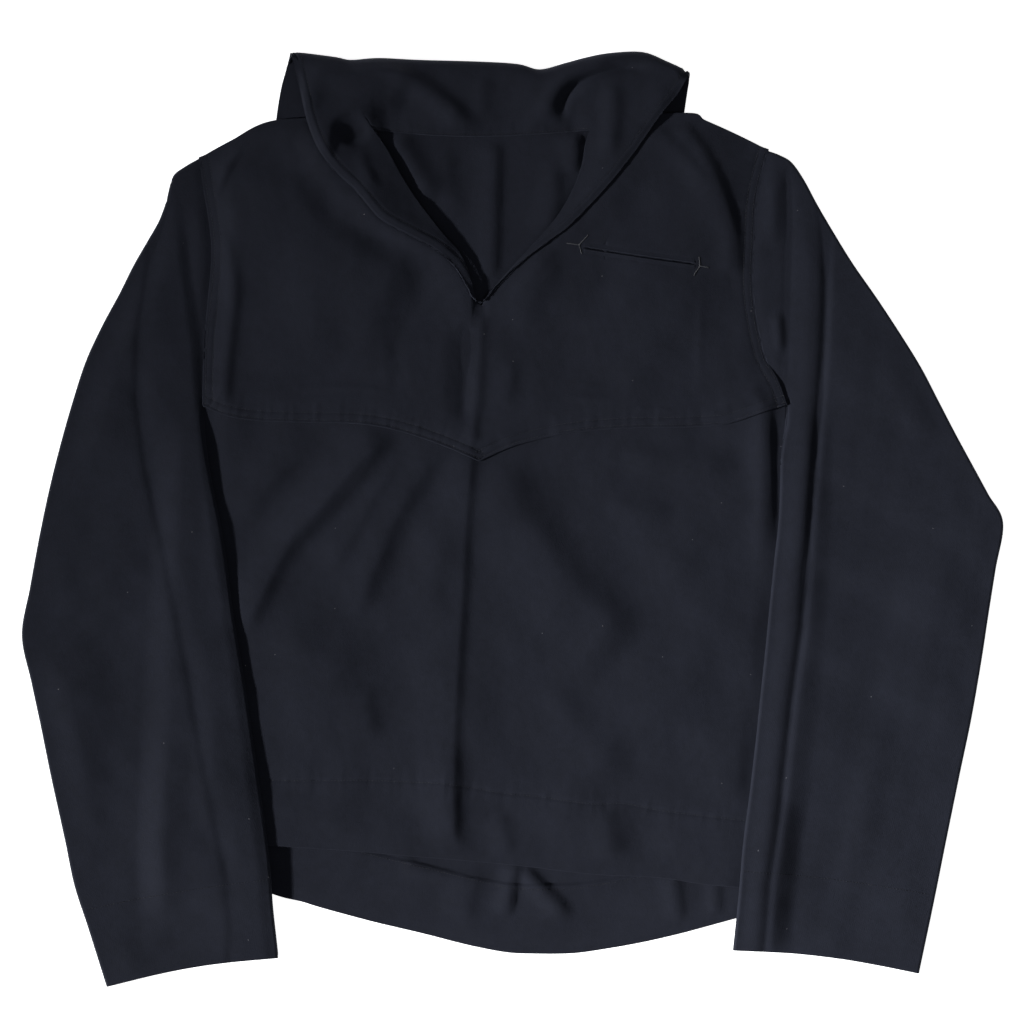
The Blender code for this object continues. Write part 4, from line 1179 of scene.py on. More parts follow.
@dataclass
class Yoke:
    """The upper front with the V slit, lapped over the lower front and stitched down twice."""

    layers: Layers
    flat: tuple[float, float] = (0.470, 0.285)
    area: float = 0.100
    inset: float = 3.0
    over: float = 1.4
    slit: Crease = Crease(POCKET, 1.8, -1.5, fade=0.04)

    def place(self, u: np.ndarray, v: np.ndarray) -> tuple[np.ndarray, np.ndarray]:
        """Lays out the yoke's underside.

        Args:
            u: The points' shares across.
            v: The points' shares up.

        Returns:
            The points, and their places on the flat cloth.
        """
        neck_right = [Point(q.x - self.inset, q.y - 1.0) for q in NECK_RIGHT[:0:-1]] + [NECK_RIGHT[0]]
        neck_left = [NECK_LEFT[0]] + [Point(q.x + self.inset, q.y - 1.0) for q in NECK_LEFT[1:]]
        top = Line(SHOULDER_RIGHT, neck_right, neck_left, SHOULDER_LEFT, shares=(0.19, 0.31, 0.29, 0.21))
        bottom = Line(YOKE_EDGE_RIGHT, YOKE_EDGE_LEFT)
        p = panel(ARM_RIGHT, ARM_LEFT, bottom, top, u, v)
        z = self.layers.yoke_under(p) + lifted(p, YOKE_SEAMS) + self.slit.lift(p)
        return np.column_stack([over_armholes(p, self.over), z]), p

    def build(self) -> bpy.types.Object:
        """Builds the yoke as a closed, plain mesh.

        Returns:
            The finished piece.
        """
        across = spaced((0.035, 16), (0.5, 116), (0.965, 116), (1.0, 16))
        up = spaced((0.012, 4), (0.075, 15), (0.97, 96), (1.0, 7))
        obj = sheet("front_yoke_cloth", across, up, self.place)
        return walled(obj, self.layers.cloth.ply, 1.0)


@dataclass
class Collar:
    """The sailor collar: wings on the front, a roll at the top and a square flap under the back."""

    layers: Layers
    flat: tuple[float, float] = (0.350, 0.365)
    area: float = 0.086
    roll_radius: float = 5.6
    roll_slope: float = 52.0
    roll_band: tuple[float, float] = (0.44, 0.68)
    edge_wall: float = 1.7
    edge_spread: float = 6.0

    def outer(self) -> Line:
        """Draws the collar's outer edge, from the point of the V round the flap and back.

        Returns:
            The edge, with one run for each of its five stretches.
        """
        flat_right = Point(FLAP_RIGHT.x, 2 * FLAP_TOP_RIGHT.y - FLAP_RIGHT.y)
        flat_left = Point(FLAP_LEFT.x, 2 * FLAP_TOP_LEFT.y - FLAP_LEFT.y)
        return Line(
            WING_RIGHT,
            (
                WING_RIGHT[-1], Point(-181, 378.5), Point(-184.5, 388), Point(-187.5, 404), Point(-191, 432),
                Point(-196, 476), flat_right,
            ),
            (flat_right, flat_left),
            (flat_left, FLAP_TOP_LEFT),
            WING_LEFT[::-1],
            shares=(0.27, 0.08, 0.30, 0.08, 0.27),
        )

    def unrolled(self, u: np.ndarray, v: np.ndarray) -> np.ndarray:
        """Lays the collar out flat, with its flap standing up past the roll.

        Args:
            u: The points' shares along the collar.
            v: The points' shares from the neck to the outer edge.

        Returns:
            The points, one row each.
        """
        roll = curve(ROLL_LINE)
        inner = Line(NECK_RIGHT, NECK_SEAM, NECK_LEFT[::-1], shares=(0.31, 0.38, 0.31))
        start, end = inner(u), self.outer()(u)
        length = np.linalg.norm(end - start, axis=1)
        cross = np.full(len(u), 0.8)
        for _ in range(6):
            x = start[:, 0] + cross * (end[:, 0] - start[:, 0])
            climb = np.maximum(end[:, 1] - start[:, 1], 1.0)
            cross = np.clip((np.interp(x, roll[:, 0], roll[:, 1]) - start[:, 1]) / climb, 0.0, 0.93)
        half = np.minimum(1.1 * self.roll_radius / length, 0.14)
        lower, upper = cross - half, cross + np.minimum(half, 0.7 * (1.0 - cross))
        first, last = self.roll_band
        share = np.select(
            [v < first, v < last],
            [lower * v / first, lower + (upper - lower) * (v - first) / (last - first)],
            upper + (1 - upper) * (v - last) / (1 - last),
        )
        return start + share[:, None] * (end - start)

    def lying(self, p: np.ndarray) -> np.ndarray:
        """Gives the height of the middle of the collar's wall where it lies on the front.

        Args:
            p: The points, one row each.

        Returns:
            The height at each point, lower along the neck seam at the back.
        """
        low = self.layers.cloth.collar / 2
        upper_side = np.column_stack([p[:, 0], np.minimum(p[:, 1], 330.0)])
        on_front = self.layers.wing_under(upper_side) + low
        on_seam = self.layers.back_top(upper_side) + self.layers.cloth.seam + low
        near = np.clip((p[:, 0] - x_at(NECK_RIGHT, np.clip(p[:, 1], 174, 313))) / 14.0, 0, 1)
        near *= np.clip((x_at(NECK_LEFT, np.clip(p[:, 1], 174, 311)) - p[:, 0]) / 14.0, 0, 1)
        return on_front + (on_seam - on_front) * ease(near)

    def place(self, u: np.ndarray, v: np.ndarray) -> tuple[np.ndarray, np.ndarray]:
        """Lays the collar over its roll, in the middle of its wall.

        Args:
            u: The points' shares along the collar.
            v: The points' shares from the neck to the outer edge.

        Returns:
            The points, and their places on the flat cloth.
        """
        radius, low, roll = self.roll_radius, self.layers.cloth.collar / 2, curve(ROLL_LINE)
        p = self.unrolled(u, v)
        top_y = np.interp(p[:, 0], roll[:, 0], roll[:, 1]) - low
        past = p[:, 1] - top_y
        turn = np.clip(past / radius, -1.0, 1.0) * math.pi / 2
        ends_x, ends_y = (FLAP_TOP_RIGHT.x, FLAP_TOP_LEFT.x), (FLAP_TOP_RIGHT.y, FLAP_TOP_LEFT.y)
        straight = np.interp(p[:, 0], ends_x, ends_y)
        settle = 2.0 * (straight - top_y) * ease((past - radius) / 90.0)
        rolled = top_y - radius + radius * np.cos(turn)
        y = np.select([past < -radius, past > radius], [p[:, 1], top_y - past + settle], rolled)
        crest = low + radius * (1.0 - np.sin(turn))
        z = crest + ease((-past - radius) / self.roll_slope) * (self.lying(p) - (low + 2 * radius))
        here = np.column_stack([p[:, 0], y])
        inside = self.inside(here)
        relief = lifted(here, COLLAR_RELIEF) + lifted(here, COLLAR_WAVES) * ease((inside - 3.0) / 20.0)
        z += (relief + lifted(here, COLLAR_EDGES)) * (past < 0) * ease(-past / 12.0)
        settled = (self.layers.cloth.collar - self.edge_wall) / 2 + self.layers.cloth.collar_air - 0.4
        z -= settled * (1.0 - ease(inside / self.edge_spread)) * ease((-past - radius) / 12.0)
        return np.column_stack([here, z]), p

    def inside(self, p: np.ndarray) -> np.ndarray:
        """Gives how far each point lies inside the edges of the wings."""
        return np.minimum(*(line.away(p) for line in WING_LINES))

    def full_wall(self, points: np.ndarray) -> np.ndarray:
        """Tells how thick the wall is: 0 at the wings' pressed edges and 1 away from them.

        Args:
            points: The points, one row each, in millimetres.

        Returns:
            The share at each point.
        """
        roll = curve(ROLL_LINE)
        below = np.interp(points[:, 0], roll[:, 0], roll[:, 1]) - 2 * self.roll_radius - points[:, 1]
        pressed = 1.0 - ease(self.inside(points[:, :2]) / self.edge_spread)
        pressed *= ease((points[:, 2] - 4.0) / 2.0)
        return 1.0 - pressed * ease(below / 12.0)

    def build(self) -> bpy.types.Object:
        """Builds the collar as a closed, plain mesh.

        Returns:
            The finished piece.
        """
        across = spaced((0.31, 110), (0.69, 100), (1.0, 110))
        up = spaced((0.03, 3), (self.roll_band[0], 34), (self.roll_band[1], 22), (0.97, 30), (1.0, 4))
        obj = sheet("collar_cloth", across, up, self.place)
        return walled(obj, self.edge_wall, 0.0, self.layers.cloth.collar, self.full_wall)


@dataclass
class Sleeve:
    """A sleeve: one cloth folded at its outer edge, joined below the armpit and open at the armhole."""

    layers: Layers
    wearer: Wearer
    stations: tuple[Station, ...]
    armpit: int
    band: tuple[Band, ...]
    relief: tuple[Crease | Unevenness, ...]
    strip: tuple[Crease, ...]
    groove: float
    sink: float
    flank: float
    crest: float
    banks: tuple[float, float] = (4.0, 9.0)
    fall: float = 75.0
    flat: tuple[float, float] = (0.370, 0.690)
    area: float = 0.172
    cuff_hollow: float = 4.0
    cuff_depth: float = 64.0
    tips: tuple[float, ...] = (0.0, 0.3, 0.8, 1.4, 2.1, 3.0)
    under_steps: int = 44
    upper_steps: int = 74

    def cuff_row(self) -> np.ndarray:
        """Gives the points of the cuff's row of stitches, from the inner fold to the outer one.

        Returns:
            The points of the row.
        """
        outer = Line([(row.outer_x, row.outer_y) for row in self.stations])
        inner = Line([(row.inner_x, row.inner_y) for row in self.stations])
        share = np.linspace(0.02, 0.98, 60)[:, None]
        cuff, above = (
            side(np.array([1.0, 0.86])) for side in (inner, outer)
        )
        runs = [
            end[0] + (end[1] - end[0]) * self.cuff_depth / math.dist(end[0], end[1])
            for end in (cuff, above)
        ]
        row = runs[0] + share * (runs[1] - runs[0])
        row[:, 1] += self.cuff_hollow * 0.6 * np.sin(math.pi * share[:, 0])
        return row

    def ring(self) -> tuple[np.ndarray, np.ndarray, np.ndarray]:
        """Lists the points round the sleeve, from its inner edge under and over it.

        Returns:
            Which are on the upper ply, their fixed millimetres, and their share of the width.
        """
        runs = []
        for steps in (self.under_steps, self.upper_steps):
            inner = [(tip, 0.0) for tip in self.tips]
            outer = [(6.0 - tip, 1.0) for tip in self.tips[::-1]]
            runs.append(np.array(inner + [(3.0, share) for share in np.linspace(0, 1, steps)[1:-1]] + outer))
        upper = np.repeat([False, True], [len(runs[0]), len(runs[1]) - 1])
        table = np.vstack([runs[0], runs[1][-2::-1]])
        return upper, table[:, 0], table[:, 1]

    def place(self, u: np.ndarray, v: np.ndarray) -> tuple[np.ndarray, np.ndarray]:
        """Lays out the middle of the sleeve's wall.

        Args:
            u: The points' shares round the sleeve.
            v: The points' shares from the shoulder down to the cuff.

        Returns:
            The points, and their places on the flat cloth.
        """
        cloth, column = self.layers.cloth, self.wearer.name.lower()
        outer = [(row.outer_x, row.outer_y) for row in self.stations]
        inner = [(row.inner_x, row.inner_y) for row in self.stations]
        outer_edge, inner_edge = Line(outer), Line(inner[self.armpit:])
        outer_line, inner_line = curve(outer), curve(inner)
        rows = np.linspace(0.0, 1.0, len(outer_line))
        upper_ply, fixed, shares = self.ring()
        inner_tip, outer_tip = (fixed == 0.0), (fixed == 6.0)
        band_y, band_in, band_out, band_high = np.array(self.band[::-1]).T
        a = np.column_stack([np.interp(v, rows, inner_line[:, k]) for k in (0, 1)])
        b = np.column_stack([np.interp(v, rows, outer_line[:, k]) for k in (0, 1)])
        joined = v > self.armpit / (len(self.stations) - 1) - 1e-6
        outward = (b - a) / np.linalg.norm(b - a, axis=1)[:, None]
        armpit_near = np.exp(-(((v - self.armpit / (len(self.stations) - 1)) / 0.07) ** 2))[:, None]
        a, b = a + cloth.fold_wall * outward * joined[:, None], b - cloth.fold_wall * outward
        a = a - (0.5 + 2.0 * armpit_near) * outward
        width = np.linalg.norm(b - a, axis=1)
        at = np.rint(u * (len(fixed) - 1)).astype(int)
        along = fixed[at] + shares[at] * (width - 6.0)
        p = a + (along / width)[:, None] * (b - a)
        p[:, 0] -= self.wearer.value * 1.8 * np.exp(-((v / 0.03) ** 2))
        tip = outer_tip[at] | (inner_tip[at] & joined)
        from_inner = np.where(joined, inner_edge.away(p), 99.0)
        outer_away = outer_edge.away(p)
        nearest = (np.minimum(from_inner, outer_away) - cloth.fold_wall) / (cloth.sleeve_fold / 2)
        half = cloth.sleeve_fold / 2 * np.sqrt(np.clip(1.0 - (1.0 - np.clip(nearest, 0, 1)) ** 2, 0, 1))
        start, valley = np.interp(p[:, 1], band_y, band_in), np.interp(p[:, 1], band_y, band_out)
        way, high = self.wearer.value, np.interp(p[:, 1], band_y, band_high)
        into, past = (p[:, 0] - start) * way, (p[:, 0] - valley) * way
        rest = np.clip((into - self.flank) / (np.abs(valley - start) - self.flank), 0.0, 1.0)
        roll = self.crest * high * ease(into / self.flank) * (1.0 - self.sink * rest**1.5)
        roll *= 1.0 - ease(past / self.fall)
        off = p[:, 0] - valley
        groove = self.groove * high / 5.0 * np.exp(-((off / np.where(off < 0, *self.banks)) ** 2))
        groove *= into > 0
        broad = np.maximum(1.2 + lifted(p, self.relief), 0.1) * ease(into / 45.0)
        swell = (roll + broad) * ease(outer_away / 30.0) + lifted(p, self.strip)
        swell = np.maximum(swell - groove, -0.4) * ease(v / 0.1)
        middle = cloth.ply / 2 + cloth.sleeve_fold / 2 + self.layers.under_sleeve(p, column)
        armhole = ARM_RIGHT if self.wearer is Wearer.RIGHT else ARM_LEFT
        settled = 0.8 * np.exp(-((armhole.away(p) / 5.0) ** 2))
        z = np.select([tip, upper_ply[at]], [middle, middle + half + swell - settled], middle - half)
        p[:, 1] += self.cuff_hollow * np.sin(math.pi * along / width) * ease((v - 0.9) / 0.1)
        flat = np.column_stack([np.where(upper_ply[at], 2 * width - along, along), v * 690.0])
        return np.column_stack([p, z]), flat

    def build(self) -> bpy.types.Object:
        """Builds the sleeve as a closed, plain mesh.

        Returns:
            The finished piece.
        """
        rows = len(self.stations) - 1
        across = np.linspace(0.0, 1.0, len(self.ring()[0]))
        up = spaced((self.armpit / rows, 84), (0.985, 150), (1.0, 8))
        name = f"sleeve_{self.wearer.name.lower()}_cloth"
        return walled(sheet(name, across, up, self.place), self.layers.cloth.ply, 0.0, edge=0.3)


@dataclass
class PocketWelt:
    """One folded lip of the slit chest pocket, on the yoke."""

    layers: Layers
    name: str
    way: float
    flat: tuple[float, float] = (0.091, 0.010)
    area: float = 0.00036
    width: float = 5.0
    height: float = 0.5
    wall: float = 1.2
    slit: float = 1.5

    def place(self, u: np.ndarray, v: np.ndarray) -> tuple[np.ndarray, np.ndarray]:
        """Lays out the lip's underside.

        Args:
            u: The points' shares along the slit.
            v: The points' shares across the lip.

        Returns:
            The points, and their places on the flat cloth.
        """
        near, far = self.slit / 2, self.slit / 2 + self.width
        shift = (near if self.way > 0 else -far) + v * self.width
        p = Line(POCKET)(u) + np.column_stack([0.0 * shift, shift])
        outwards = v if self.way > 0 else 1.0 - v
        lip = self.height * (1.0 - outwards) ** 1.6 - 0.1
        z = self.layers.yoke_under(p) + lifted(p, YOKE_SEAMS) + self.layers.cloth.ply + lip - self.wall
        return np.column_stack([p, z]), p

    def build(self) -> bpy.types.Object:
        """Builds the lip as a closed, plain mesh."""
        obj = sheet(self.name, spaced((1.0, 90)), spaced((1.0, 10)), self.place)
        return walled(obj, self.wall, 1.0, edge=0.25)


class Graph:
    """A node tree under construction."""

    def __init__(self, tree: bpy.types.NodeTree) -> None:
        """Takes the tree that nodes are added to."""
        self.tree = tree

    def add(
        self, kind: str, inputs: dict[str | int, object] | None = None, **settings: object
    ) -> bpy.types.Node:
        """Adds a node.

        Args:
            kind: The node's type.
            inputs: What its sockets get, each a value or another node's output.
            settings: The node's own settings.

        Returns:
            The new node.
        """
        node = self.tree.nodes.new(kind)
        for name, value in settings.items():
            setattr(node, name, value)
        for socket, value in (inputs or {}).items():
            if isinstance(value, bpy.types.NodeSocket):
                self.tree.links.new(value, node.inputs[socket])
            else:
                node.inputs[socket].default_value = value
        return node

    def sum_of(self, *terms: tuple[bpy.types.NodeSocket, float], start: float = 0.0) -> bpy.types.NodeSocket:
        """Adds up values, each times its own share.

        Args:
            terms: Pairs of a value and its share.
            start: What is added to the sum.

        Returns:
            The output that holds the sum.
        """
        total: object = start
        for value, share in terms:
            node = self.add("ShaderNodeMath", {0: value, 1: share, 2: total}, operation="MULTIPLY_ADD")
            total = node.outputs[0]
        return total


class WoolFace:
    """The face of brushed wool twill, as a node group that all its finishes share."""

    name = "brushed_wool_face"

    def group(self) -> bpy.types.NodeTree:
        """Builds the group the first time, and gives it.

        Returns:
            The group, which puts out a tone, a height, a roughness and a mask of lint.
        """
        if self.name in bpy.data.node_groups:
            return bpy.data.node_groups[self.name]
        tree = bpy.data.node_groups.new(self.name, "ShaderNodeTree")
        for name, kind, value in (
            ("Flat Cloth", "NodeSocketVector", None),
            ("Place", "NodeSocketVector", None),
            ("Twill Scale", "NodeSocketFloat", 400.0),
            ("Nap Scale", "NodeSocketFloat", 170.0),
            ("Lint", "NodeSocketFloat", 0.05),
        ):
            socket = tree.interface.new_socket(name, in_out="INPUT", socket_type=kind)
            if value is not None:
                socket.default_value = value
        for name in ("Tone", "Height", "Roughness", "Lint"):
            tree.interface.new_socket(name, in_out="OUTPUT", socket_type="NodeSocketFloat")
        graph = Graph(tree)
        ends = graph.add("NodeGroupInput").outputs
        twill = graph.add(
            "ShaderNodeTexWave",
            {"Vector": ends["Flat Cloth"], "Scale": ends["Twill Scale"], "Distortion": 6.0,
             "Detail": 2.0, "Detail Scale": 2.5},
            wave_type="BANDS", bands_direction="DIAGONAL",
        ).outputs["Fac"]
        fuzz = self.noise(graph, ends["Place"], 760.0, 3.0, 0.7)
        nap = graph.add(
            "ShaderNodeTexNoise",
            {"Vector": ends["Place"], "Scale": ends["Nap Scale"], "Detail": 3.0, "Roughness": 0.65},
        ).outputs["Fac"]
        patch = self.noise(graph, ends["Place"], 16.0, 3.0, 0.55)
        thread = self.noise(graph, ends["Flat Cloth"], 60.0, 2.0, 0.6)
        tone = graph.sum_of((nap, 0.62), (fuzz, 0.42), (patch, 0.55), (thread, 0.2), start=-0.395)
        height = graph.sum_of((fuzz, 0.4), (nap, 0.45), (twill, 0.08))
        rough = graph.sum_of((nap, 0.12), start=0.82)
        spots = graph.add(
            "ShaderNodeTexVoronoi", {"Vector": ends["Flat Cloth"], "Scale": 42.0}, voronoi_dimensions="2D"
        )
        near = {0: spots.outputs["Distance"], 1: 0.016}
        size = graph.add("ShaderNodeMath", near, operation="LESS_THAN").outputs[0]
        split = graph.add("ShaderNodeSeparateColor", {0: spots.outputs["Color"]}).outputs[0]
        rare = graph.add("ShaderNodeMath", {0: split, 1: ends["Lint"]}, operation="LESS_THAN").outputs[0]
        lint = graph.add("ShaderNodeMath", {0: size, 1: rare}, operation="MULTIPLY").outputs[0]
        graph.add("NodeGroupOutput", {"Tone": tone, "Height": height, "Roughness": rough, "Lint": lint})
        return tree

    def noise(
        self, graph: Graph, place: bpy.types.NodeSocket, scale: float, detail: float, rough: float
    ) -> bpy.types.NodeSocket:
        """Adds a noise texture.

        Args:
            graph: The tree that it goes into.
            place: Where it is read.
            scale: How many features it has to a metre.
            detail: How many finer layers it has.
            rough: How strong they are.

        Returns:
            The output that holds its value.
        """
        inputs = {"Vector": place, "Scale": scale, "Detail": detail, "Roughness": rough}
        return graph.add("ShaderNodeTexNoise", inputs).outputs["Fac"]


@dataclass(frozen=True)
class NavyWool:
    """Dull, brushed navy wool, with nap, a faint twill and a few specks of lint.

    Attributes:
        name: What the material is called.
        dark: Its darkest tone.
        light: Its lightest tone.
        lint: The share of places that hold a speck.
        relief: How deep its nap and twill look, in metres.
    """

    name: str
    dark: tuple[float, float, float, float]
    light: tuple[float, float, float, float]
    lint: float = 0.05
    relief: float = 0.00045

    def material(self) -> bpy.types.Material:
        """Makes the material.

        Returns:
            The finished material.
        """
        made = bpy.data.materials.new(self.name)
        made.use_nodes = True
        graph = Graph(made.node_tree)
        shader = made.node_tree.nodes["Principled BSDF"]
        flat = graph.add("ShaderNodeUVMap", uv_map="flat_cloth").outputs["UV"]
        place = graph.add("ShaderNodeTexCoord").outputs["Object"]
        face = graph.add("ShaderNodeGroup", node_tree=WoolFace().group())
        made.node_tree.links.new(flat, face.inputs["Flat Cloth"])
        made.node_tree.links.new(place, face.inputs["Place"])
        face.inputs["Lint"].default_value = self.lint
        tone = graph.add(
            "ShaderNodeMix", {0: face.outputs["Tone"], 6: self.dark, 7: self.light}, data_type="RGBA"
        ).outputs[2]
        colour = graph.add(
            "ShaderNodeMix", {0: face.outputs["Lint"], 6: tone, 7: (0.16, 0.16, 0.18, 1.0)}, data_type="RGBA"
        ).outputs[2]
        bump = graph.add("ShaderNodeBump", {"Height": face.outputs["Height"], "Distance": self.relief})
        made.node_tree.links.new(colour, shader.inputs["Base Color"])
        made.node_tree.links.new(face.outputs["Roughness"], shader.inputs["Roughness"])
        made.node_tree.links.new(bump.outputs["Normal"], shader.inputs["Normal"])
        shader.inputs["Specular IOR Level"].default_value = 0.2
        shader.inputs["Sheen Weight"].default_value = 0.06
        shader.inputs["Sheen Roughness"].default_value = 0.55
        shader.inputs["Sheen Tint"].default_value = (0.55, 0.62, 0.85, 1.0)
        return made


@dataclass(frozen=True)
class NavyThread:
    """Twisted sewing thread, a little smoother and paler than the wool.

    Attributes:
        name: What the material is called.
        colour: Its colour.
        twist: How many turns its twist has to a metre.
    """

    name: str
    colour: tuple[float, float, float, float]
    twist: float = 900.0

    def material(self) -> bpy.types.Material:
        """Makes the material.

        Returns:
            The finished material.
        """
        made = bpy.data.materials.new(self.name)
        made.use_nodes = True
        graph = Graph(made.node_tree)
        shader = made.node_tree.nodes["Principled BSDF"]
        place = graph.add("ShaderNodeTexCoord").outputs["Object"]
        strand = graph.add(
            "ShaderNodeTexWave", {"Vector": place, "Scale": self.twist, "Distortion": 1.0},
            wave_type="BANDS", bands_direction="DIAGONAL",
        ).outputs["Fac"]
        dark = tuple(0.7 * part for part in self.colour[:3]) + (1.0,)
        colour = graph.add("ShaderNodeMix", {0: strand, 6: dark, 7: self.colour}, data_type="RGBA").outputs[2]
        bump = graph.add("ShaderNodeBump", {"Height": strand, "Distance": 0.0001})
        made.node_tree.links.new(colour, shader.inputs["Base Color"])
        made.node_tree.links.new(bump.outputs["Normal"], shader.inputs["Normal"])
        shader.inputs["Roughness"].default_value = 0.55
        shader.inputs["Specular IOR Level"].default_value = 0.4
        return made


class Surface:
    """The faces of a finished piece, to lay stitches on.

    Attributes:
        lowest: The least height of a stitch's middle above the table, in millimetres.
        tree: The piece's faces, to cast rays at.
    """

    lowest: float = 0.4

    def __init__(self, obj: bpy.types.Object) -> None:
        """Takes the piece, which is a plain mesh in metres.

        Args:
            obj: The finished piece, a plain mesh in metres.
        """
        mesh = obj.data
        corners = [vert.co for vert in mesh.vertices]
        self.tree = BVHTree.FromPolygons(corners, [tuple(face.vertices) for face in mesh.polygons])

    def lay(self, path: np.ndarray, step: float = 1.2, under: bool = False) -> np.ndarray:
        """Lays a path on the piece.

        Args:
            path: Its points seen from above, in millimetres.
            step: How far apart the laid points are.
            under: Whether it lies on the underside and not on top.

        Returns:
            Points on the surface, in metres, without those that miss it.
        """
        length = np.concatenate([[0.0], np.cumsum(np.linalg.norm(np.diff(path, axis=0), axis=1))])
        at = np.linspace(0.0, length[-1], max(int(length[-1] / step), 1) + 1)
        xy = np.column_stack([np.interp(at, length, path[:, k]) for k in (0, 1)]) * MM
        start, way = (-0.1, 1.0) if under else (0.1, -1.0)
        hits = [self.tree.ray_cast(Vector((x, y, start)), Vector((0.0, 0.0, way)))[0] for x, y in xy]
        laid = np.array([hit for hit in hits if hit is not None]).reshape(-1, 3)
        laid[:, 2] = np.maximum(laid[:, 2], self.lowest * MM)
        return laid


@dataclass(frozen=True)
class Stitching:
    """Rows of thread stitches, made by Geometry Nodes along their path.

    Attributes:
        name: What the piece is called.
        pitch: From one stitch to the next, in millimetres.
        length: The visible length of a stitch.
        width: The width of the thread.
        wobble: How far a stitch may be off its row.
        seed: Picks how the stitches differ.
    """

    name: str
    pitch: float = 2.5
    length: float = 2.15
    width: float = 0.55
    wobble: float = 0.1
    seed: int = 0

    def tree(self) -> bpy.types.NodeTree:
        """Builds the Geometry Nodes tree the first time, and gives it.

        Returns:
            The tree, whose inputs are the stitch's sizes, the seed and the thread.
        """
        if "stitches" in bpy.data.node_groups:
            return bpy.data.node_groups["stitches"]
        tree = bpy.data.node_groups.new("stitches", "GeometryNodeTree")
        for name, kind in (
            ("Path", "NodeSocketGeometry"), ("Pitch", "NodeSocketFloat"), ("Length", "NodeSocketFloat"),
            ("Width", "NodeSocketFloat"), ("Wobble", "NodeSocketFloat"), ("Seed", "NodeSocketInt"),
            ("Thread", "NodeSocketMaterial"),
        ):
            tree.interface.new_socket(name, in_out="INPUT", socket_type=kind)
        tree.interface.new_socket("Stitches", in_out="OUTPUT", socket_type="NodeSocketGeometry")
        graph = Graph(tree)
        ends = graph.add("NodeGroupInput").outputs
        path = graph.add("GeometryNodeMeshToCurve", {0: ends["Path"]}).outputs[0]
        row = graph.add(
            "GeometryNodeResampleCurve", {"Curve": path, "Length": ends["Pitch"]}, mode="LENGTH"
        ).outputs[0]
        aside = graph.add(
            "FunctionNodeRandomValue", {0: (-1.0, -1.0, -0.3), 1: (1.0, 1.0, 0.3), "Seed": ends["Seed"]},
            data_type="FLOAT_VECTOR",
        ).outputs[0]
        scaled = {0: aside, "Scale": ends["Wobble"]}
        shift = graph.add("ShaderNodeVectorMath", scaled, operation="SCALE").outputs[0]
        turn = graph.add(
            "FunctionNodeAlignRotationToVector",
            {"Vector": graph.add("GeometryNodeInputTangent").outputs[0]},
            axis="X",
        ).outputs[0]
        row = graph.add("GeometryNodeSetPosition", {"Geometry": row, "Offset": shift}).outputs[0]
        bead = graph.add("GeometryNodeMeshUVSphere", {"Segments": 6, "Rings": 5, "Radius": 0.5}).outputs[0]
        bead = graph.add("GeometryNodeSetShadeSmooth", {0: bead}).outputs[0]
        uneven = graph.add(
            "FunctionNodeRandomValue", {2: 0.86, 3: 1.06, "Seed": ends["Seed"]}, data_type="FLOAT"
        ).outputs[1]
        long = graph.add("ShaderNodeMath", {0: ends["Length"], 1: uneven}, operation="MULTIPLY").outputs[0]
        size = graph.add("ShaderNodeCombineXYZ", {0: long, 1: ends["Width"], 2: ends["Width"]}).outputs[0]
        placed = graph.add(
            "GeometryNodeInstanceOnPoints", {"Points": row, "Instance": bead, "Rotation": turn, "Scale": size}
        ).outputs[0]
        real = graph.add("GeometryNodeRealizeInstances", {0: placed}).outputs[0]
        done = graph.add("GeometryNodeSetMaterial", {0: real, "Material": ends["Thread"]}).outputs[0]
        graph.add("NodeGroupOutput", {"Stitches": done})
        return tree

    def sew(self, paths: Sequence[np.ndarray], thread: bpy.types.Material) -> bpy.types.Object:
        """Sews rows of stitches.

        Args:
            paths: Each row's points, in metres.
            thread: The thread's material.

        Returns:
            The stitches, as one plain mesh.
        """
        points, edges = [], []
        for path in paths:
            start = len(points)
            points += path.tolist()
            edges += [(start + k, start + k + 1) for k in range(len(path) - 1)]
        mesh = bpy.data.meshes.new(self.name)
        mesh.from_pydata(points, edges, [])
        obj = link(bpy.data.objects.new(self.name, mesh))
        tree = self.tree()
        sizes = {
            "Pitch": self.pitch * MM, "Length": self.length * MM, "Width": self.width * MM,
            "Wobble": self.wobble * MM, "Seed": self.seed, "Thread": thread,
        }
        nodes = obj.modifiers.new("stitches", "NODES")
        nodes.node_group = tree
        for item in tree.interface.items_tree:
            if item.in_out == "INPUT" and item.name in sizes:
                nodes[item.identifier] = sizes[item.name]
        applied(obj)
        return obj


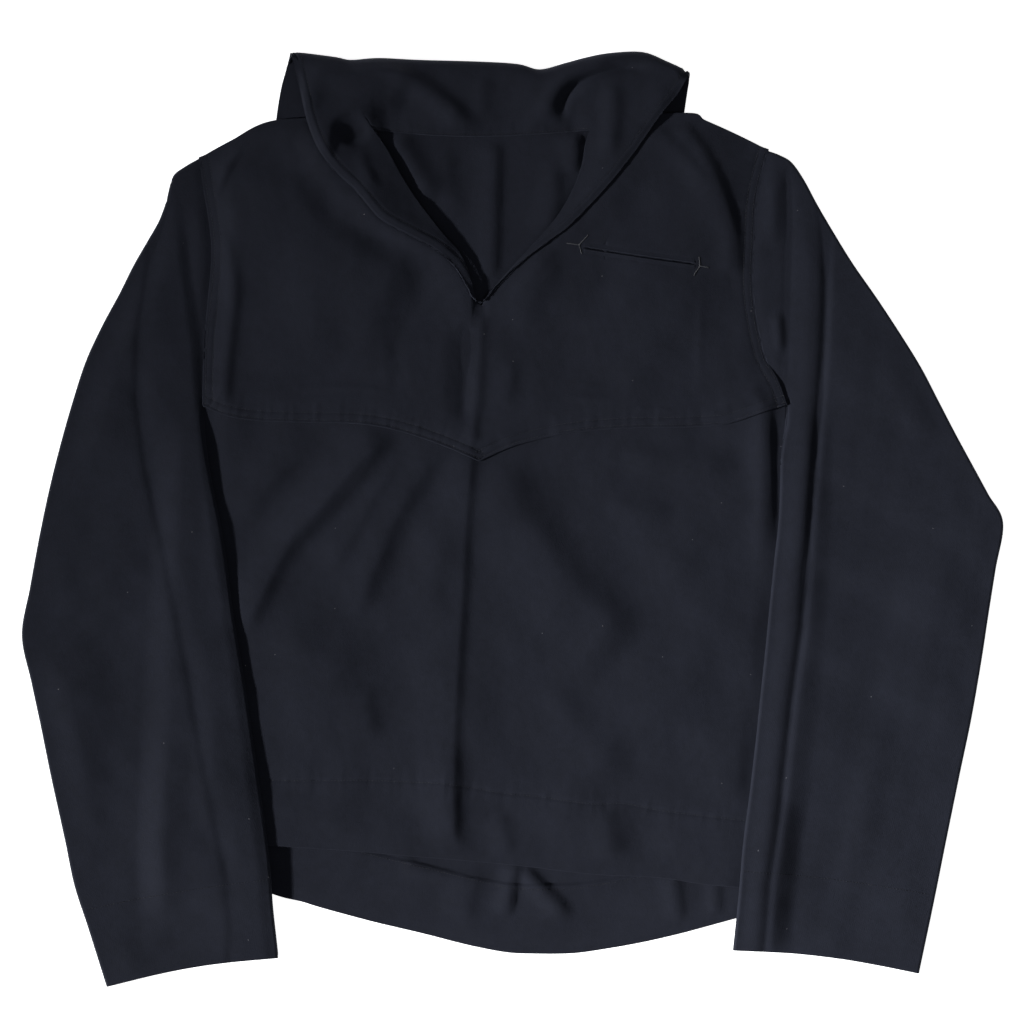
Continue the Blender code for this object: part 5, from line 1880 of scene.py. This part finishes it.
@dataclass
class Seamstress:
    """Sews every row of stitches that shows, and the pocket's tacks."""

    thread: bpy.types.Material
    dark_thread: bpy.types.Material
    edge_thread: bpy.types.Material
    tack_legs: tuple[tuple[tuple[float, float], ...], ...] = (
        ((53.2, 219.2), (44.0, 220.4)), ((53.2, 219.2), (60.0, 226.6)), ((53.2, 219.2), (55.2, 212.4)),
        ((150.0, 202.4), (149.4, 209.0)), ((150.0, 202.4), (156.4, 201.2)), ((150.0, 202.4), (145.2, 195.2)),
    )

    def yoke(self, cloth: bpy.types.Object) -> list[bpy.types.Object]:
        """Sews the yoke's double rows, the armholes' double rows and the pocket's tacks.

        Args:
            cloth: The finished yoke.

        Returns:
            The pieces of stitching.
        """
        face = Surface(cloth)
        rows = [face.lay(row) for row in (*YOKE_ROWS, *ARM_ROWS)]
        tacks = [face.lay(np.array(leg), step=0.6) for leg in self.tack_legs]
        return [
            Stitching("yoke_stitches", seed=1).sew(rows, self.thread),
            Stitching("pocket_tacks", pitch=0.9, length=1.9, width=1.0, seed=2).sew(tacks, self.edge_thread),
        ]

    def lower_front(self, cloth: bpy.types.Object) -> list[bpy.types.Object]:
        """Sews the front hem's row, and gives it as a list of one piece."""
        return [Stitching("front_hem_stitches", seed=3).sew([Surface(cloth).lay(HEM_ROW.xy)], self.thread)]

    def back(self, cloth: bpy.types.Object) -> list[bpy.types.Object]:
        """Sews the tail hem's row and the back's armhole rows.

        Args:
            cloth: The finished back.

        Returns:
            The pieces of stitching.
        """
        face = Surface(cloth)
        rows = [face.lay(TAIL_ROW), face.lay(TAIL_ROW, under=True)]
        rows += [face.lay(row, under=True) for row in ARM_ROWS]
        return [Stitching("back_stitches", seed=4).sew(rows, self.dark_thread)]

    def collar(self, cloth: bpy.types.Object) -> list[bpy.types.Object]:
        """Sews the collar's edge rows, on its wings and its flap, and the neck seam's row.

        Args:
            cloth: The finished collar.

        Returns:
            The pieces of stitching.
        """
        face = Surface(cloth)
        flap = Line((FLAP_TOP_RIGHT, FLAP_RIGHT), (FLAP_RIGHT, FLAP_LEFT), (FLAP_LEFT, FLAP_TOP_LEFT))
        rows = [face.lay(row) for row in (*WING_ROWS, NECK_ROW)]
        rows += [face.lay(flap.beside(inside), under=True) for inside in (2.4, 8.5)]
        return [Stitching("collar_stitches", width=0.4, seed=5).sew(rows, self.dark_thread)]

    def sleeve(self, maker: Sleeve, cloth: bpy.types.Object) -> list[bpy.types.Object]:
        """Sews a cuff's row, all round the sleeve.

        Args:
            maker: The sleeve's sizes.
            cloth: The finished sleeve.

        Returns:
            The pieces of stitching.
        """
        face, row = Surface(cloth), maker.cuff_row()
        name = f"cuff_{maker.wearer.name.lower()}_stitches"
        return [Stitching(name, seed=6).sew([face.lay(row), face.lay(row, under=True)], self.dark_thread)]


@dataclass
class Studio:
    """A plain pale table under plain soft light, seen from straight above."""

    pixel: float = 0.0008
    frame_pixels: int = 1024
    lens: float = 200.0
    sensor: float = 36.0
    table: float = 6.0
    sky: float = 0.075
    window: float = 31500.0
    window_place: tuple[float, float, float] = (-12.0, -2.4, 6.4)
    window_aim: tuple[float, float, float] = (3.4, -0.6, 0.0)
    window_cone: float = 16.0
    lamp: float = 2.5
    lamp_place: tuple[float, float, float] = (0.33, -0.52, 1.95)

    def build(self) -> None:
        """Builds the table, the lights and the camera."""
        self.floor()
        self.lights()
        self.camera()
        bpy.context.scene.view_settings.view_transform = "Standard"

    def floor(self) -> None:
        """Lays a plain white table under the jumper."""
        mesh = bpy.data.meshes.new("table")
        half = self.table / 2
        corners = [(-half, -half, 0.0), (half, -half, 0.0), (half, half, 0.0), (-half, half, 0.0)]
        mesh.from_pydata(corners, [], [(0, 1, 2, 3)])
        floor = link(bpy.data.objects.new("table", mesh))
        made = bpy.data.materials.new("white_table")
        made.use_nodes = True
        shader = made.node_tree.nodes["Principled BSDF"]
        shader.inputs["Base Color"].default_value = (0.93, 0.93, 0.93, 1.0)
        shader.inputs["Roughness"].default_value = 0.9
        shader.inputs["Emission Color"].default_value = (1.0, 1.0, 1.0, 1.0)
        shader.inputs["Emission Strength"].default_value = 0.95
        mesh.materials.append(made)

    def lights(self) -> None:
        """Sets the soft light: a far window on the left, a lamp overhead, and a pale room."""
        world = bpy.data.worlds.new("studio")
        world.use_nodes = True
        room = world.node_tree.nodes["Background"]
        room.inputs["Color"].default_value = (1.0, 1.0, 1.0, 1.0)
        room.inputs["Strength"].default_value = self.sky
        bpy.context.scene.world = world
        window = bpy.data.lights.new("window", "SPOT")
        window.energy, window.shadow_soft_size = self.window, 0.9
        window.spot_size, window.spot_blend = math.radians(self.window_cone), 1.0
        self.hang(window, self.window_place, self.window_aim)
        lamp = bpy.data.lights.new("lamp", "AREA")
        lamp.energy, lamp.size = self.lamp, 0.8
        self.hang(lamp, self.lamp_place, (0.0, 0.0, 0.0))

    def hang(
        self, light: bpy.types.Light, place: tuple[float, float, float], aim: tuple[float, float, float]
    ) -> None:
        """Hangs a light where it shines on the jumper, out of the camera's sight.

        Args:
            light: The light.
            place: Where it hangs.
            aim: The point that it shines at.
        """
        hung = link(bpy.data.objects.new(light.name, light))
        hung.location = place
        hung.rotation_euler = (Vector(aim) - Vector(place)).to_track_quat("-Z", "Y").to_euler()
        hung.visible_camera = False

    def camera(self) -> None:
        """Hangs the camera above the jumper."""
        data = bpy.data.cameras.new("camera")
        data.lens, data.sensor_width = self.lens, self.sensor
        camera = link(bpy.data.objects.new("camera", data))
        camera.location = (-0.0004, 0.0056, self.pixel * self.frame_pixels * self.lens / self.sensor + 0.006)
        data.clip_end = 20.0
        bpy.context.scene.camera = camera


@dataclass(frozen=True)
class Part:
    """One piece of cloth of the jumper, and how it goes into the frame.

    Attributes:
        maker: The class that builds it.
        node: The solid that it stands for.
        held: How its cloth is held. It is not used.
        rests_on: What it lies on. It is not used.
    """

    maker: Back | LowerFront | Yoke | Collar | Sleeve | PocketWelt
    node: str
    held: str
    rests_on: tuple[str, ...]


def sewn_on(part: Part, cloth: bpy.types.Object, seamstress: Seamstress) -> list[bpy.types.Object]:
    """Sews what belongs on a piece of cloth.

    Args:
        part: The piece's part.
        cloth: The finished piece.
        seamstress: Who sews.

    Returns:
        The pieces of stitching on it.
    """
    match part.maker:
        case Yoke():
            return seamstress.yoke(cloth)
        case LowerFront():
            return seamstress.lower_front(cloth)
        case Back():
            return seamstress.back(cloth)
        case Collar():
            return seamstress.collar(cloth)
        case Sleeve():
            return seamstress.sleeve(part.maker, cloth)
    return []


def main() -> None:
    """Builds the jumper, piece by piece, and its studio."""
    layers = Layers()
    outside = NavyWool(
        "navy_wool_outside", (0.0078, 0.0091, 0.0151, 1.0), (0.0208, 0.0238, 0.038, 1.0)
    ).material()
    inside = NavyWool(
        "navy_wool_inside", (0.008, 0.0093, 0.0154, 1.0), (0.0213, 0.0243, 0.0388, 1.0), lint=0.02
    ).material()
    seamstress = Seamstress(
        NavyThread("navy_thread", (0.022, 0.0245, 0.036, 1.0)).material(),
        NavyThread("dark_navy_thread", (0.013, 0.0145, 0.022, 1.0)).material(),
        NavyThread("navy_silk_thread", (0.1, 0.104, 0.118, 1.0)).material(),
    )
    right = Sleeve(
        layers, Wearer.RIGHT, SLEEVE_RIGHT, ARMPIT_ROW_RIGHT, BAND_RIGHT, SLEEVE_RIGHT_RELIEF, STRIP_RIGHT,
        groove=1.1, sink=0.15, flank=12.0, crest=0.48,
    )
    left = Sleeve(
        layers, Wearer.LEFT, SLEEVE_LEFT, ARMPIT_ROW_LEFT, BAND_LEFT, SLEEVE_LEFT_RELIEF, STRIP_LEFT,
        groove=2.0, sink=0.7, flank=17.0, crest=0.3, banks=(4.5, 3.0),
    )
    parts = (
        Part(Back(layers), "back", "laid", ()),
        Part(LowerFront(layers), "front_body", "laid", ("back",)),
        Part(Yoke(layers), "front_yoke", "laid", ("back",)),
        Part(Collar(layers), "collar", "folded", ("front_yoke",)),
        Part(right, "sleeve_right", "folded", ("front_body",)),
        Part(left, "sleeve_left", "folded", ("front_body",)),
        Part(
            PocketWelt(layers, "pocket_welt_upper_cloth", 1.0),
            "pocket_welt_upper", "folded", ("front_yoke",),
        ),
        Part(
            PocketWelt(layers, "pocket_welt_lower_cloth", -1.0),
            "pocket_welt_lower", "folded", ("front_yoke",),
        ),
    )
    for part in parts:
        cloth = part.maker.build()
        cloth.data.materials.clear()
        cloth.data.materials.append(inside if part.node == "back" else outside)
        stitches = sewn_on(part, cloth, seamstress)
        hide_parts(part.node)
        for obj in (cloth, *stitches):
            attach(obj, BODY)
            LOG.info("%s: %d faces", obj.name, len(obj.data.polygons))
        area = getattr(part.maker, "area", None)
    Studio().build()


if __name__ == "__main__":
    logging.basicConfig(level=logging.INFO, format="%(message)s")
    main()
